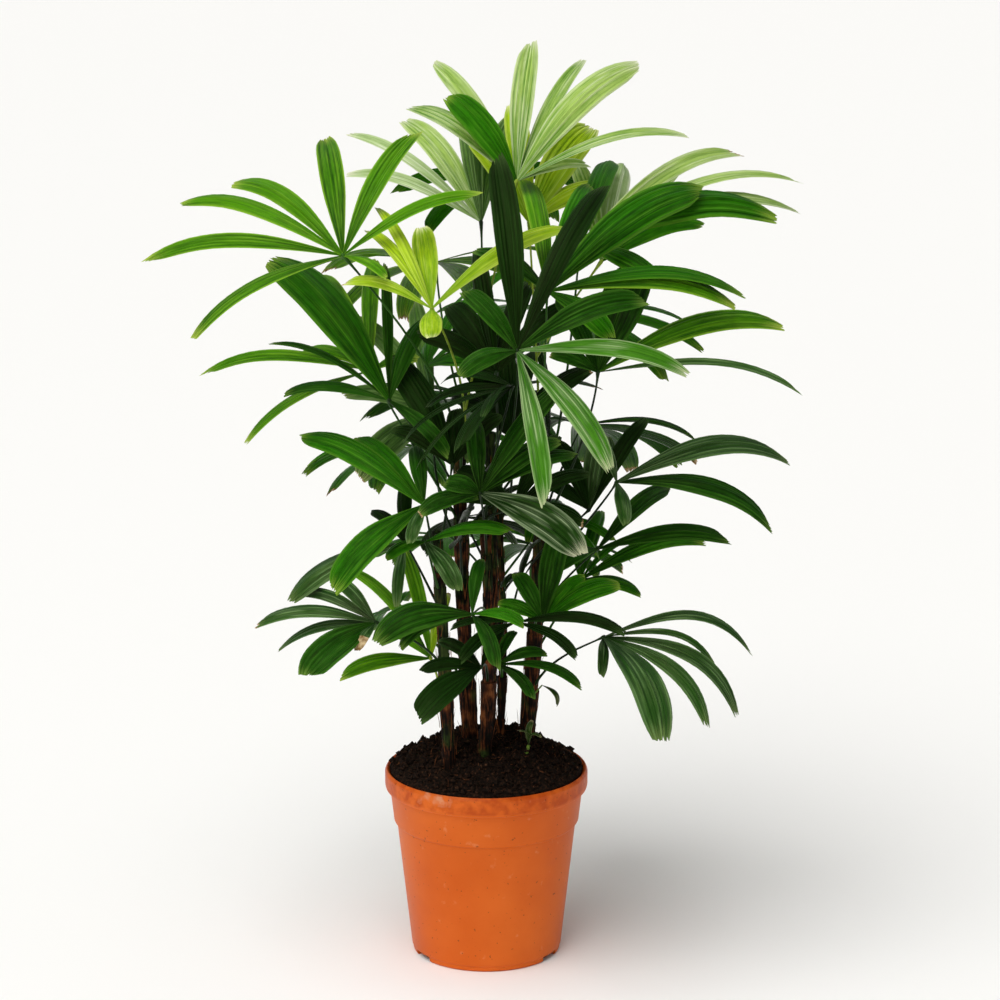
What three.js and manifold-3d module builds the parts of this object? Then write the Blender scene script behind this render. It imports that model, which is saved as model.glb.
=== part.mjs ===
// A potted lady palm: several thin canes standing in a filled nursery pot, each cane carrying
// palmate fronds on long petioles. Millimetres, +Z up, the front towards -Y.
// The origin is the centre of the pot's flat underside.
import * as THREE from 'three';
import { mergeVertices } from 'three/addons/utils/BufferGeometryUtils.js';
import Module from 'manifold-3d';

const wasm = await Module();
wasm.setup();

// ---------------------------------------------------------------- driving dimensions
const fit = 0.3; // clear gap between two solids that touch

const pot = {
  height: 226,
  rimRadius: 120, // outside of the rolled lip
  lipDrop: 23, // height of the lip band
  bandTop: 114, // outside radius just under the lip
  bandBottom: 109.5,
  bandEnd: 163, // height of the step under the upper band
  bodyTop: 106,
  bodyBottom: 89,
  footHeight: 7,
  footInset: 1.5,
  wall: 3,
  floor: 4,
  step: 5, // height over which the wall steps out to the upper band
  soft: 2, // size of the small bevels at the edges
  lipRound: 4, // how far the lip's outer edges are rounded
  sides: 32,
  notches: 3, // drainage slots in the bottom edge
  notchTurn: 0.75, // where the first one lies, as a part of the angle between two
  notchWidth: 30,
  notchHeight: 7,
  notchDepth: 9,
};

const soil = {
  edge: 225, // height where the soil meets the wall
  crown: 249, // height of the mound in the middle
  lump: 4, // unevenness of the surface
  slack: 1, // how far its corners stand inside the pot's wall
  wave: [0.083, 0.071, 0.17, 0.21], // how quickly the lumps come and go, in radians a millimetre
  rings: 4,
  sides: 24,
};

const cane = {
  rooted: 34, // how far a cane goes down into the soil
  sides: 8,
  steps: 7,
  widen: 1.15, // growth of the radius that keeps the flats of a grown cane clear too
};

// Where each cane leaves the soil, where it ends, how far it bows, and its radius at foot and tip.
const caneRows = [
  { name: 'cane_1', foot: [-42, -52], tip: [-57, -46, 528], bow: [1, -4], radius: [9.5, 6.5] },
  { name: 'cane_2', foot: [-17, 32], tip: [-32, 36, 626], bow: [-3, 3], radius: [12, 7] },
  { name: 'cane_3', foot: [-4, -20], tip: [-2, -24, 540], bow: [6, -3], radius: [10, 6] },
  { name: 'cane_4', foot: [16, 34], tip: [14, 14, 560], bow: [4, 2], radius: [6.5, 4.5] },
  { name: 'cane_5', foot: [45, 42], tip: [66, 20, 580], bow: [3, 3], radius: [11.5, 7] },
  { name: 'cane_6', foot: [2, 80], tip: [4, 100, 610], bow: [4, 2], radius: [9.5, 6] },
];

const petiole = {
  radius: 2.1,
  sides: 3,
  steps: 6,
  stand: 12, // how far out of the cane it turns upwards
  lift: 0.3, // how steeply it leaves the cane, as a part of its length
  last: 0.3, // where its last bend lies before the hub, as a part of its length
  sag: 0.05,
  follow: 0.6, // how much of a sideways bow is left at the last bend
  knob: 5, // radius of the hub where the leaflets join
};

const leaflet = {
  arch: 0.11, // rise of a level leaflet over its chord, as a part of its length
  upright: 0.25, // what is left of that rise when a leaflet stands upright
  lean: 1.05, // how far an upright leaflet's rise turns to the face of its frond
  twist: 16, // degrees, largest roll of a leaflet about its spine
  swing: 8, // degrees, how far a leaflet may stand out of its fan
  thin: 95, // length over thickness
  least: 1.7, // smallest thickness
  shown: 0.7, // least part of its width that a drawn leaflet is taken to show
  long: 110, // length from which a leaflet has the longer list of stops
  stops: { long: [0, 0.22, 0.5, 0.8, 1], short: [0, 0.3, 0.72, 1] },
};

// A frond grown by rule: how its leaflets differ.
const ruled = {
  stray: 8, // degrees between the clock angles' extremes about even steps
  outerLength: 0.8, // length of the outermost leaflets, as a part of the middle ones'
  outerWidth: 0.5,
  lengthSpread: 0.12,
  widthSpread: 0.3,
};

// Half-width of a leaflet along its length, as a part of its largest half-width.
const leafletProfile = [
  [0, 0.08], [0.22, 0.54], [0.45, 0.95], [0.6, 1], [0.8, 0.9], [0.93, 0.65], [1, 0.32],
];

// Room kept between solids: half of it belongs to each sample point of a leaflet or petiole.
const room = {
  cell: 9,
  leaflet: 4.3,
  petiole: 3.3,
  grid: 6.4, // widest step between the points of a leaflet
  step: 5, // widest step between the points of a petiole
  cane: 5.5, // kept clear of a cane's surface
  free: 30, // a petiole may touch its own cane this near to its start
};

// What is tried in turn where the way is blocked: a petiole's sideways bow in millimetres, a
// leaflet's further swing and clock angle in degrees, and how much of a leaflet's length is left.
const petioleSwings = [0, 12, -12, 24, -24, 36, -36, 50, -50];
const leafletMoves = [
  [0, 0], [6, 0], [-6, 0], [12, 0], [-12, 0], [0, 4], [0, -4], [9, 5], [-9, 5], [9, -5], [-9, -5],
  [18, 0], [-18, 0], [0, 9], [0, -9], [24, 4], [-24, -4], [30, 0], [-30, 0], [15, 12], [-15, -12],
];
const leafletCuts = [1, 0.82, 0.64];

// Fronds. at: height on the cane where the petiole leaves it; hub: where the leaflets join; face:
// azimuth and elevation of the side that catches the light; fan: clock angle, length, width and
// swing towards the front of each leaflet, as drawn in the front view, which the face then gives
// its depth. A frond with no fan list has count leaflets spread about aim by rule, in its own face.
const frondRows = [
  { name: 'a', cane: 2, at: 562, hub: [-160, -70, 852], face: [-108, 54], tint: 'bright',
    fan: [[182, 232, 19], [162, 214, 21], [146, 166, 23], [101, 160, 29], [61, 168, 27],
      [23, 172, 15], [210, 190, 19], [-29, 55, 12]] },
  { name: 'b', cane: 2, at: 582, hub: [-60, -110, 799], face: [-95, 50], tint: 'lime',
    fan: [[98, 98, 29], [118, 128, 14, 12], [129, 112, 15, 12], [164, 106, 13], [30, 182, 20],
      [270, 34, 26]] },
  { name: 'c', cane: 3, at: 506, hub: [35, -200, 770], face: [-85, 34], tint: 'dark',
    fan: [[96, 226, 32], [62, 228, 26], [21, 162, 28], [-8, 194, 20], [-53, 174, 27],
      [-80, 183, 23], [132, 90, 24], [205, 70, 22]] },
  { name: 'd', cane: 2, at: 612, hub: [35, 30, 920], face: [-90, 40], tint: 'pale',
    fan: [[124, 174, 24], [84, 163, 28], [62, 178, 19], [44, 204, 34], [144, 163, 23],
      [15, 210, 12], [13, 92, 12, -10], [129, 120, 34, 12]] },
  { name: 't', cane: 5, at: 556, hub: [69, -90, 815], face: [-68, 52], tint: 'bright',
    fan: [[100, 170, 27], [33, 210, 42], [-1, 230, 20, 5], [-4, 220, 24, -10], [68, 150, 26],
      [150, 100, 24], [-38, 90, 26]] },
  { name: 'u', cane: 3, at: 484, hub: [-6, -150, 597], face: [-85, 50], tint: 'dark',
    fan: [[52, 130, 24], [33, 104, 23], [20, 126, 20], [-32, 132, 40], [165, 43, 22],
      [200, 72, 20], [95, 90, 22]] },
  { name: 'v2', cane: 5, at: 542, hub: [108, 10, 850], face: [-62, 55], tint: 'bright',
    fan: [[17, 269, 14, 10], [10, 272, 20, -4], [9, 220, 40, 6], [31, 225, 22], [68, 150, 28],
      [-30, 110, 24]] },
  { name: 'e', cane: 2, at: 536, hub: [-110, -50, 681], face: [-104, 38], tint: 'dark',
    fan: [[131, 214, 48], [124, 145, 24, -12], [92, 154, 13], [177, 128, 13], [155, 158, 8],
      [66, 106, 22], [-44, 100, 18]] },
  { name: 's', cane: 5, at: 508, hub: [127, -70, 718], face: [-72, 44], tint: 'dark',
    fan: [[68, 133, 52], [14, 225, 26], [-6, 233, 9], [118, 100, 24], [160, 60, 20]] },
  { name: 'f', cane: 1, at: 470, hub: [-70, -90, 568], face: [-108, 50], tint: 'bright',
    fan: [[153, 166, 29], [224, 143, 34], [138, 118, 22, -8], [251, 51, 16], [8, 66, 20],
      [95, 80, 20]] },
  { name: 'r', cane: 5, at: 436, hub: [150, -50, 585], face: [-62, 54], tint: 'dark', arch: 0.15,
    fan: [[6, 202, 27], [-18, 193, 27], [120, 60, 18], [-80, 50, 18]] },
  { name: 'm', cane: 5, at: 300, hub: [136, -70, 406], face: [-62, 56], tint: 'dark', arch: 0.22,
    fan: [[-8, 174, 14], [-31, 176, 17], [-42, 152, 18, -10], [-62, 137, 44], [-17, 137, 8, -6],
      [-95, 44, 14]] },
  { name: 'q', cane: 5, at: 396, hub: [130, -10, 495], face: [-68, 54], tint: 'dark',
    fan: [[2, 158, 20], [37, 124, 22], [205, 60, 23]] },
  { name: 'h', cane: 1, at: 360, hub: [-125, -110, 435], face: [-115, 54], tint: 'dark',
    fan: [[183, 140, 15], [197, 127, 15, -8], [218, 103, 37], [237, 39, 14], [140, 80, 17],
      [163, 105, 14]] },
  { name: 'g', cane: 1, at: 430, hub: [-94, -20, 505], face: [-110, 54], tint: 'dark',
    fan: [[208, 150, 24], [264, 80, 14], [90, 70, 18], [140, 60, 16]] },
  { name: 'g2', cane: 1, at: 452, hub: [-69, -90, 525], face: [-90, 50], tint: 'mid',
    fan: [[5, 104, 16], [-56, 72, 23], [205, 50, 14]] },
  { name: 'i', cane: 3, at: 400, hub: [-15, -180, 465], face: [-95, 56], tint: 'mid', arch: 0.16,
    fan: [[197, 114, 33], [206, 86, 15, -12], [-14, 62, 16], [-66, 72, 18], [80, 60, 16]] },
  { name: 'j', cane: 1, at: 318, hub: [-65, -10, 362], face: [-105, 45], tint: 'lime',
    fan: [[105, 128, 18], [135, 143, 14], [193, 112, 18], [148, 60, 14], [75, 80, 15]] },
  { name: 'k', cane: 3, at: 330, hub: [-5, -170, 400], face: [-90, 56], tint: 'dark',
    fan: [[219, 98, 32], [150, 56, 15], [60, 50, 14], [185, 70, 15]] },
  { name: 'l', cane: 4, at: 320, hub: [14, -110, 385], face: [-85, 56], tint: 'mid', arch: 0.15,
    fan: [[-16, 104, 13], [10, 58, 13], [-45, 56, 14], [60, 46, 13]] },
  { name: 'o', cane: 5, at: 372, hub: [65, -120, 440], face: [-85, 42], tint: 'mid',
    fan: [[78, 106, 29], [24, 98, 25], [44, 72, 19], [120, 64, 21], [160, 56, 16]] },
  { name: 'n', cane: 4, at: 370, hub: [34, -130, 441], face: [-90, 66], tint: 'dark',
    fan: [[-6, 128, 14], [177, 118, 14], [215, 76, 16], [-30, 86, 14]] },
  { name: 'p', cane: 5, at: 350, hub: [111, 60, 438], face: [-58, 54], tint: 'mid',
    fan: [[15, 149, 19], [-15, 78, 16], [36, 80, 9], [70, 90, 18], [100, 80, 18]] },
  { name: 'w', cane: 1, at: 505, hub: [-38, -70, 610], face: [-98, 40], tint: 'dark',
    fan: [[117, 138, 35], [85, 110, 22], [150, 80, 20], [45, 80, 20]] },
  { name: 'x', cane: 4, at: 520, hub: [28, 5, 625], face: [-95, 38], tint: 'dark',
    fan: [[122, 164, 40], [95, 150, 28], [70, 120, 24], [150, 110, 24], [40, 120, 24]] },
  { name: 'y', cane: 4, at: 538, hub: [12, -45, 712], face: [-95, 38], tint: 'dark',
    fan: [[125, 104, 32], [99, 140, 22], [70, 120, 24], [40, 130, 26], [155, 100, 24]] },
  { name: 'e2', cane: 2, at: 512, hub: [-135, 70, 690], face: [-122, 54], tint: 'bright',
    fan: [[182, 226, 16], [211, 172, 17], [168, 102, 15], [12, 60, 15], [120, 130, 22],
      [90, 140, 22]] },
  { name: 'v', cane: 2, at: 484, hub: [-62, 90, 635], face: [-105, 38], tint: 'olive',
    fan: [[222, 118, 37], [170, 110, 20], [130, 140, 24], [100, 140, 24]] },
  { name: 'z', cane: 5, at: 570, hub: [50, 90, 862], face: [-88, 35], tint: 'lime',
    fan: [[57, 150, 42], [98, 150, 30], [125, 130, 24], [25, 110, 24]] },
  { name: 'z2', cane: 6, at: 566, hub: [135, 110, 812], face: [-75, 40], tint: 'pale',
    fan: [[77, 165, 40], [104, 130, 24], [50, 150, 24], [20, 140, 24]] },
  { name: 'mm', cane: 6, at: 600, hub: [-6, 110, 859], face: [-98, 40], tint: 'olive',
    fan: [[126, 168, 30], [98, 150, 26], [146, 190, 14], [160, 170, 14], [75, 140, 24]] },
  { name: 'r2', cane: 5, at: 462, hub: [121, 55, 525], face: [-75, 34], tint: 'dark',
    fan: [[77, 96, 38], [57, 132, 20], [115, 90, 22], [150, 70, 18]] },
  // inside the clump
  { name: 'in_1', cane: 3, at: 530, hub: [30, -130, 715], face: [-170, 58], tint: 'dark',
    aim: 270, spread: 150, count: 6, length: 145, width: 28 },
  { name: 'in_2', cane: 2, at: 440, hub: [-30, 10, 500], face: [160, 46], tint: 'dark',
    aim: 90, spread: 150, count: 6, length: 110, width: 27 },
  { name: 'in_3', cane: 3, at: 524, hub: [32, -75, 560], face: [-85, 40], tint: 'dark',
    aim: 80, spread: 190, count: 6, length: 110, width: 28 },
  { name: 'in_4', cane: 4, at: 390, hub: [40, 10, 450], face: [160, 46], tint: 'dark',
    aim: 90, spread: 150, count: 5, length: 105, width: 26 },
  // the side that faces away
  { name: 'back_1', cane: 6, at: 548, hub: [-60, 175, 800], face: [105, 60], tint: 'bright',
    aim: 270, spread: 160, count: 7, length: 210, width: 32 },
  { name: 'back_2', cane: 6, at: 528, hub: [85, 190, 735], face: [70, 58], tint: 'mid',
    aim: 270, spread: 160, count: 7, length: 205, width: 34 },
  { name: 'back_3', cane: 6, at: 500, hub: [-10, 235, 620], face: [95, 56], tint: 'dark',
    aim: 270, spread: 180, count: 7, length: 190, width: 30 },
  { name: 'back_4', cane: 2, at: 440, hub: [-85, 175, 575], face: [112, 58], tint: 'mid',
    aim: 270, spread: 150, count: 7, length: 175, width: 28 },
  { name: 'back_5', cane: 5, at: 488, hub: [115, 175, 600], face: [62, 58], tint: 'dark',
    aim: 270, spread: 150, count: 7, length: 175, width: 30 },
  { name: 'back_6', cane: 6, at: 410, hub: [-45, 200, 455], face: [110, 56], tint: 'mid',
    aim: 270, spread: 150, count: 6, length: 140, width: 26 },
  { name: 'back_7', cane: 6, at: 380, hub: [70, 195, 440], face: [70, 56], tint: 'dark',
    aim: 270, spread: 150, count: 6, length: 140, width: 26 },
  { name: 'back_8', cane: 6, at: 584, hub: [20, 160, 905], face: [95, 50], tint: 'mid',
    aim: 270, spread: 200, count: 7, length: 160, width: 28 },
  // the two sides
  { name: 'side_1', cane: 2, at: 310, hub: [-105, 80, 400], face: [160, 46], tint: 'mid',
    aim: 270, spread: 150, count: 5, length: 100, width: 29 },
  { name: 'side_2', cane: 6, at: 436, hub: [-30, 120, 500], face: [50, 58], tint: 'dark',
    aim: 270, spread: 150, count: 5, length: 115, width: 27 },
  { name: 'side_3', cane: 6, at: 515, hub: [75, 120, 600], face: [-10, 46], tint: 'dark',
    aim: 90, spread: 150, count: 6, length: 135, width: 28 },
  { name: 'side_4', cane: 2, at: 616, hub: [-70, 45, 700], face: [-170, 46], tint: 'mid',
    aim: 90, spread: 150, count: 5, length: 150, width: 31 },
  { name: 'side_5', cane: 6, at: 415, hub: [75, 120, 500], face: [-10, 58], tint: 'mid',
    aim: 270, spread: 150, count: 5, length: 105, width: 27 },
];

const tints = {
  bright: '#3f8a1c', mid: '#2f6f22', dark: '#1f4a1c', lime: '#a2c62a', pale: '#a9c97c', olive: '#5c7d33',
};

// ---------------------------------------------------------------- small vector helpers
const radians = (degrees) => (degrees * Math.PI) / 180;
const add = (a, b) => [a[0] + b[0], a[1] + b[1], a[2] + b[2]];
const minus = (a, b) => [a[0] - b[0], a[1] - b[1], a[2] - b[2]];
const times = (a, k) => [a[0] * k, a[1] * k, a[2] * k];
const dot = (a, b) => a[0] * b[0] + a[1] * b[1] + a[2] * b[2];
const size = (a) => Math.sqrt(dot(a, a));
const unit = (a) => times(a, 1 / size(a));
const cross = (a, b) => [
  a[1] * b[2] - a[2] * b[1], a[2] * b[0] - a[0] * b[2], a[0] * b[1] - a[1] * b[0],
];
const up = [0, 0, 1];

// Seeded numbers from 0 to 1, always the same for one seed.
function dice(seed) {
  let state = seed * 2654435761 % 4294967296;
  return () => {
    state = (state * 1664525 + 1013904223) % 4294967296;
    return state / 4294967296;
  };
}

function along(table, t) {
  for (let k = 1; k < table.length; k += 1) {
    const [t0, a] = table[k - 1];
    const [t1, b] = table[k];
    if (t <= t1) return a + ((b - a) * (t - t0)) / (t1 - t0);
  }
  return table[table.length - 1][1];
}

// The front view that the fans are drawn in: from a little above the level.
const viewRise = radians(14);
const view = {
  right: [1, 0, 0],
  upward: [0, Math.sin(viewRise), Math.cos(viewRise)],
  forth: [0, -Math.cos(viewRise), Math.sin(viewRise)],
};

// ---------------------------------------------------------------- where everything grows
function caneAt(row, z) {
  const foot = soil.crown - cane.rooted;
  const s = (z - foot) / (row.tip[2] - foot);
  const swell = Math.sin(Math.PI * Math.min(Math.max(s, 0), 1));
  return [
    row.foot[0] + (row.tip[0] - row.foot[0]) * s + row.bow[0] * swell,
    row.foot[1] + (row.tip[1] - row.foot[1]) * s + row.bow[1] * swell,
    z,
  ];
}

function caneRadius(row, z) {
  const foot = soil.crown - cane.rooted;
  const s = (z - foot) / (row.tip[2] - foot);
  return row.radius[0] + (row.radius[1] - row.radius[0]) * s;
}

// A frond's own axes: out of its face, to the right in it, up in it, and level the way it faces.
function fanAxes(row) {
  const azimuth = radians(row.face[0]);
  const rise = radians(row.face[1]);
  const out = [Math.cos(rise) * Math.cos(azimuth), Math.cos(rise) * Math.sin(azimuth), Math.sin(rise)];
  const right = [-Math.sin(azimuth), Math.cos(azimuth), 0];
  const forth = [Math.cos(azimuth), Math.sin(azimuth), 0];
  return { out, right, upward: cross(out, right), forth };
}

// A frond's leaflets, each as clock angle, length, width and swing.
function fanList(row, roll) {
  if (row.fan) {
    return row.fan.map(([clock, length, width, swing = 0]) => (
      [clock, length, width, swing + leaflet.swing * (2 * roll() - 1)]));
  }
  const list = [];
  for (let k = 0; k < row.count; k += 1) {
    const place = k / (row.count - 1) - 0.5;
    const clock = row.aim + row.spread * place + ruled.stray * (roll() - 0.5);
    const middle = Math.cos(Math.PI * place);
    const long = ruled.outerLength + (1 - ruled.outerLength) * middle;
    const wide = 1 - ruled.outerWidth * Math.abs(place);
    const length = row.length * long * (1 + ruled.lengthSpread * (roll() - 0.5));
    const width = row.width * wide * (1 + ruled.widthSpread * (roll() - 0.5));
    list.push([clock, length, width, leaflet.swing * (2 * roll() - 1)]);
  }
  return list;
}

// One leaflet's place: its chord from hub to tip, how it arches over that chord, and its roll.
function leafletShape(row, axes, entry, move, cut, twist) {
  const clock = radians(entry[0] + move[1]);
  const swing = radians(entry[3] + move[0]);
  const drawn = row.fan ? view : axes;
  const flat = add(times(drawn.right, Math.cos(clock)), times(drawn.upward, Math.sin(clock)));
  const depth = dot(flat, axes.out) / dot(drawn.forth, axes.out);
  const lying = minus(flat, times(drawn.forth, depth));
  const chord = unit(add(times(unit(lying), Math.cos(swing)), times(drawn.forth, Math.sin(swing))));
  const level = Math.sqrt(chord[0] * chord[0] + chord[1] * chord[1]);
  const lean = add(times(up, level), times(axes.out, leaflet.lean - level));
  const over = unit(minus(lean, times(chord, dot(lean, chord))));
  const arch = (row.arch ?? leaflet.arch) * (leaflet.upright + (1 - leaflet.upright) * level);
  const side = unit(cross(chord, axes.out));
  const face = cross(side, chord);
  const roll = radians(twist);
  const across = add(times(side, Math.cos(roll)), times(face, Math.sin(roll)));
  const length = entry[1] * size(lying) * cut;
  const shown = size(minus(across, times(view.forth, dot(across, view.forth))));
  const width = row.fan ? entry[2] / Math.max(leaflet.shown, shown) : entry[2];
  return { hub: row.hub, chord, over, arch, across, length, width };
}

// The spine's rise over its chord is rising * t * (1 - t * t), which is 1 at its highest.
const rising = 2.6;

function spineAt(shape, t) {
  const rise = shape.arch * rising * t * (1 - t * t);
  const step = add(times(shape.chord, t), times(shape.over, rise));
  return add(shape.hub, times(step, shape.length));
}

function spineFrame(shape, t) {
  const slope = shape.arch * rising * (1 - 3 * t * t);
  const ahead = unit(add(shape.chord, times(shape.over, slope)));
  const across = unit(minus(shape.across, times(ahead, dot(shape.across, ahead))));
  return { ahead, across, face: cross(across, ahead) };
}

function leafletPoints(shape) {
  const points = [];
  const rows = Math.ceil(shape.length / room.grid);
  for (let k = 2; k <= rows; k += 1) {
    const t = k / rows;
    const half = 0.5 * shape.width * along(leafletProfile, t);
    const middle = spineAt(shape, t);
    const { across } = spineFrame(shape, t);
    const columns = Math.max(1, Math.ceil(half / room.grid));
    for (let c = -columns; c <= columns; c += 1) {
      points.push(add(middle, times(across, (half * c) / columns)));
    }
  }
  return points;
}

// A petiole leaves its cane steeply and bends out to the hub; swing bows it sideways.
function petiolePath(row, swing) {
  const start = caneAt(caneRows[row.cane - 1], row.at);
  const reach = minus(row.hub, start);
  const outward = unit([reach[0], reach[1], 0]);
  const aside = [-outward[1], outward[0], 0];
  const span = size(reach);
  const radius = caneRadius(caneRows[row.cane - 1], row.at);
  const first = add(add(start, times(outward, radius + petiole.stand)), times(up, petiole.lift * span));
  const bend = add(first, times(aside, swing));
  const last = add(minus(row.hub, times(reach, petiole.last)), times(up, petiole.sag * span));
  const end = add(last, times(aside, petiole.follow * swing));
  return [start, bend, end, row.hub];
}

function bezier(path, t) {
  const s = 1 - t;
  const [a, b, c, d] = path;
  const near = add(times(a, s * s * s), times(b, 3 * s * s * t));
  return add(near, add(times(c, 3 * s * t * t), times(d, t * t * t)));
}

function petiolePoints(path) {
  const points = [];
  const steps = Math.ceil(size(minus(path[3], path[0])) / room.step);
  for (let k = 1; k <= steps; k += 1) points.push(bezier(path, k / steps));
  return points;
}

// Keeps every solid clear of the others: sample points in a grid of cells.
const cells = new Map();

function cellKey(x, y, z) {
  return (x + 512) * 1048576 + (y + 512) * 1024 + z + 512;
}

function nearAnother(point, reach, owner) {
  const [cx, cy, cz] = point.map((v) => Math.floor(v / room.cell));
  for (let x = cx - 1; x <= cx + 1; x += 1) {
    for (let y = cy - 1; y <= cy + 1; y += 1) {
      for (let z = cz - 1; z <= cz + 1; z += 1) {
        for (const other of cells.get(cellKey(x, y, z)) ?? []) {
          const gap = minus(point, other.point);
          const least = reach + other.reach;
          if (other.owner !== owner && dot(gap, gap) < least * least) return true;
        }
      }
    }
  }
  return false;
}

function nearCane(point, own, start) {
  return caneRows.some((row, index) => {
    if (point[2] > row.tip[2] + room.cane) return false;
    if (index === own - 1 && size(minus(point, start)) < room.free) return false;
    const axis = caneAt(row, point[2]);
    const least = caneRadius(row, point[2]) + room.cane;
    const gap = [point[0] - axis[0], point[1] - axis[1]];
    return gap[0] * gap[0] + gap[1] * gap[1] < least * least;
  });
}

function isBlocked(points, reach, row) {
  const start = caneAt(caneRows[row.cane - 1], row.at);
  return points.some((point) => nearCane(point, row.cane, start) || nearAnother(point, reach, row.name));
}

function keep(points, reach, owner) {
  for (const point of points) {
    const key = cellKey(...point.map((v) => Math.floor(v / room.cell)));
    if (!cells.has(key)) cells.set(key, []);
    cells.get(key).push({ point, reach, owner });
  }
}

function growPetiole(row) {
  const tries = petioleSwings.map((swing) => petiolePath(row, swing));
  const path = tries.find((way) => !isBlocked(petiolePoints(way), room.petiole, row)) ?? tries[0];
  keep(petiolePoints(path), room.petiole, row.name);
  return path;
}

function growLeaflets(row, index) {
  const axes = fanAxes(row);
  const roll = dice(index + 11);
  const grown = [];
  for (const entry of fanList(row, roll)) {
    const twist = leaflet.twist * (2 * roll() - 1);
    const tries = leafletCuts.flatMap((cut) => leafletMoves.map((move) => [move, cut]));
    for (const [move, cut] of tries) {
      const shape = leafletShape(row, axes, entry, move, cut, twist);
      const points = leafletPoints(shape);
      if (!isBlocked(points, room.leaflet, row)) {
        keep(points, room.leaflet, row.name);
        grown.push(shape);
        break;
      }
    }
  }
  return grown;
}

// ---------------------------------------------------------------- closed meshes
// Rings of points, all with the same count, become a closed skin with flat ends.
function loft(rings) {
  const count = rings[0].length;
  const positions = rings.flat(2);
  const index = [];
  for (let k = 0; k + 1 < rings.length; k += 1) {
    for (let i = 0; i < count; i += 1) {
      const a = k * count + i;
      const b = k * count + ((i + 1) % count);
      index.push(a, b, a + count, b, b + count, a + count);
    }
  }
  const last = (rings.length - 1) * count;
  for (let i = 1; i + 1 < count; i += 1) {
    index.push(0, i + 1, i, last, last + i, last + i + 1);
  }
  const geometry = new THREE.BufferGeometry();
  geometry.setAttribute('position', new THREE.Float32BufferAttribute(positions, 3));
  geometry.setIndex(index);
  return geometry;
}

function tube(centres, radii, sides) {
  const rings = centres.map((centre, k) => {
    const before = centres[Math.max(k - 1, 0)];
    const after = centres[Math.min(k + 1, centres.length - 1)];
    const ahead = unit(minus(after, before));
    const side = unit(cross(ahead, Math.abs(ahead[1]) < 0.9 ? [0, 1, 0] : [1, 0, 0]));
    const other = cross(ahead, side);
    const ring = [];
    for (let i = 0; i < sides; i += 1) {
      const angle = (2 * Math.PI * i) / sides;
      const arm = add(times(side, Math.cos(angle)), times(other, Math.sin(angle)));
      ring.push(add(centre, times(arm, radii[k])));
    }
    return ring;
  });
  return loft(rings);
}

function toSolid(geometry) {
  const bare = geometry.clone();
  bare.deleteAttribute('normal');
  bare.deleteAttribute('uv');
  const merged = mergeVertices(bare, 1e-4);
  const vertProperties = new Float32Array(merged.attributes.position.array);
  const triVerts = new Uint32Array(merged.index.array);
  return new wasm.Manifold(new wasm.Mesh({ numProp: 3, vertProperties, triVerts }));
}

// The largest skin of a solid: sealed hollows are filled and loose scraps dropped.
function toGeometry(solid) {
  const mesh = solid.getMesh();
  const link = Array.from({ length: mesh.vertProperties.length / 3 }, (_, i) => i);
  const root = (i) => {
    let at = i;
    while (link[at] !== at) at = link[at];
    return at;
  };
  for (let k = 0; k < mesh.triVerts.length; k += 3) {
    const [a, b, c] = mesh.triVerts.slice(k, k + 3);
    link[root(b)] = root(a);
    link[root(c)] = root(a);
  }
  const skins = new Map();
  for (let k = 0; k < mesh.triVerts.length; k += 3) {
    const key = root(mesh.triVerts[k]);
    if (!skins.has(key)) skins.set(key, []);
    skins.get(key).push(...mesh.triVerts.slice(k, k + 3));
  }
  const largest = [...skins.values()].sort((a, b) => b.length - a.length)[0];
  const geometry = new THREE.BufferGeometry();
  geometry.setAttribute('position', new THREE.Float32BufferAttribute(mesh.vertProperties, 3));
  geometry.setIndex(largest);
  return geometry;
}

// ---------------------------------------------------------------- pot and soil
function lathe(profile, sides) {
  const points = profile.map(([radius, height]) => new THREE.Vector2(radius, height));
  return new THREE.LatheGeometry(points, sides).rotateX(Math.PI / 2);
}

function potInside(height) {
  return along([
    [pot.floor, pot.bodyBottom - pot.wall], [pot.bandEnd - pot.soft, pot.bodyTop - pot.wall],
    [pot.bandEnd - pot.soft + pot.step, pot.bandBottom - pot.wall], [pot.height, pot.bandTop + 1],
  ], height);
}

function makePot() {
  const lipFoot = pot.height - pot.lipDrop;
  const footRadius = pot.bodyBottom - pot.footInset;
  const mouth = potInside(pot.height);
  const { rimRadius, bodyBottom, footHeight, soft, lipRound, height } = pot;
  const [low, high] = [pot.bandEnd - soft, pot.bandEnd - soft + pot.step];
  const profile = [
    [0, 0], [footRadius - soft, 0], [footRadius, soft],
    [footRadius, footHeight - 1], [bodyBottom, footHeight + 1],
    [pot.bodyTop, pot.bandEnd - 3], [pot.bandBottom, pot.bandEnd], [pot.bandTop, lipFoot - soft],
    [rimRadius - 1, lipFoot], [rimRadius, lipFoot + lipRound], [rimRadius, height - lipRound],
    [rimRadius - soft, height], [mouth + soft, height], [mouth, height - soft],
    [potInside(high), high], [potInside(low), low],
    [potInside(pot.floor), pot.floor], [0, pot.floor],
  ];
  let shell = toSolid(lathe(profile, pot.sides));
  // each slot's box is twice as deep and high as the notch that it leaves
  for (let k = 0; k < pot.notches; k += 1) {
    const slot = new THREE.BoxGeometry(2 * pot.notchDepth, pot.notchWidth, 2 * pot.notchHeight);
    slot.translate(bodyBottom, 0, 0).rotateZ((2 * Math.PI * (k + pot.notchTurn)) / pot.notches);
    shell = shell.subtract(toSolid(slot));
  }
  return toGeometry(shell);
}

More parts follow.
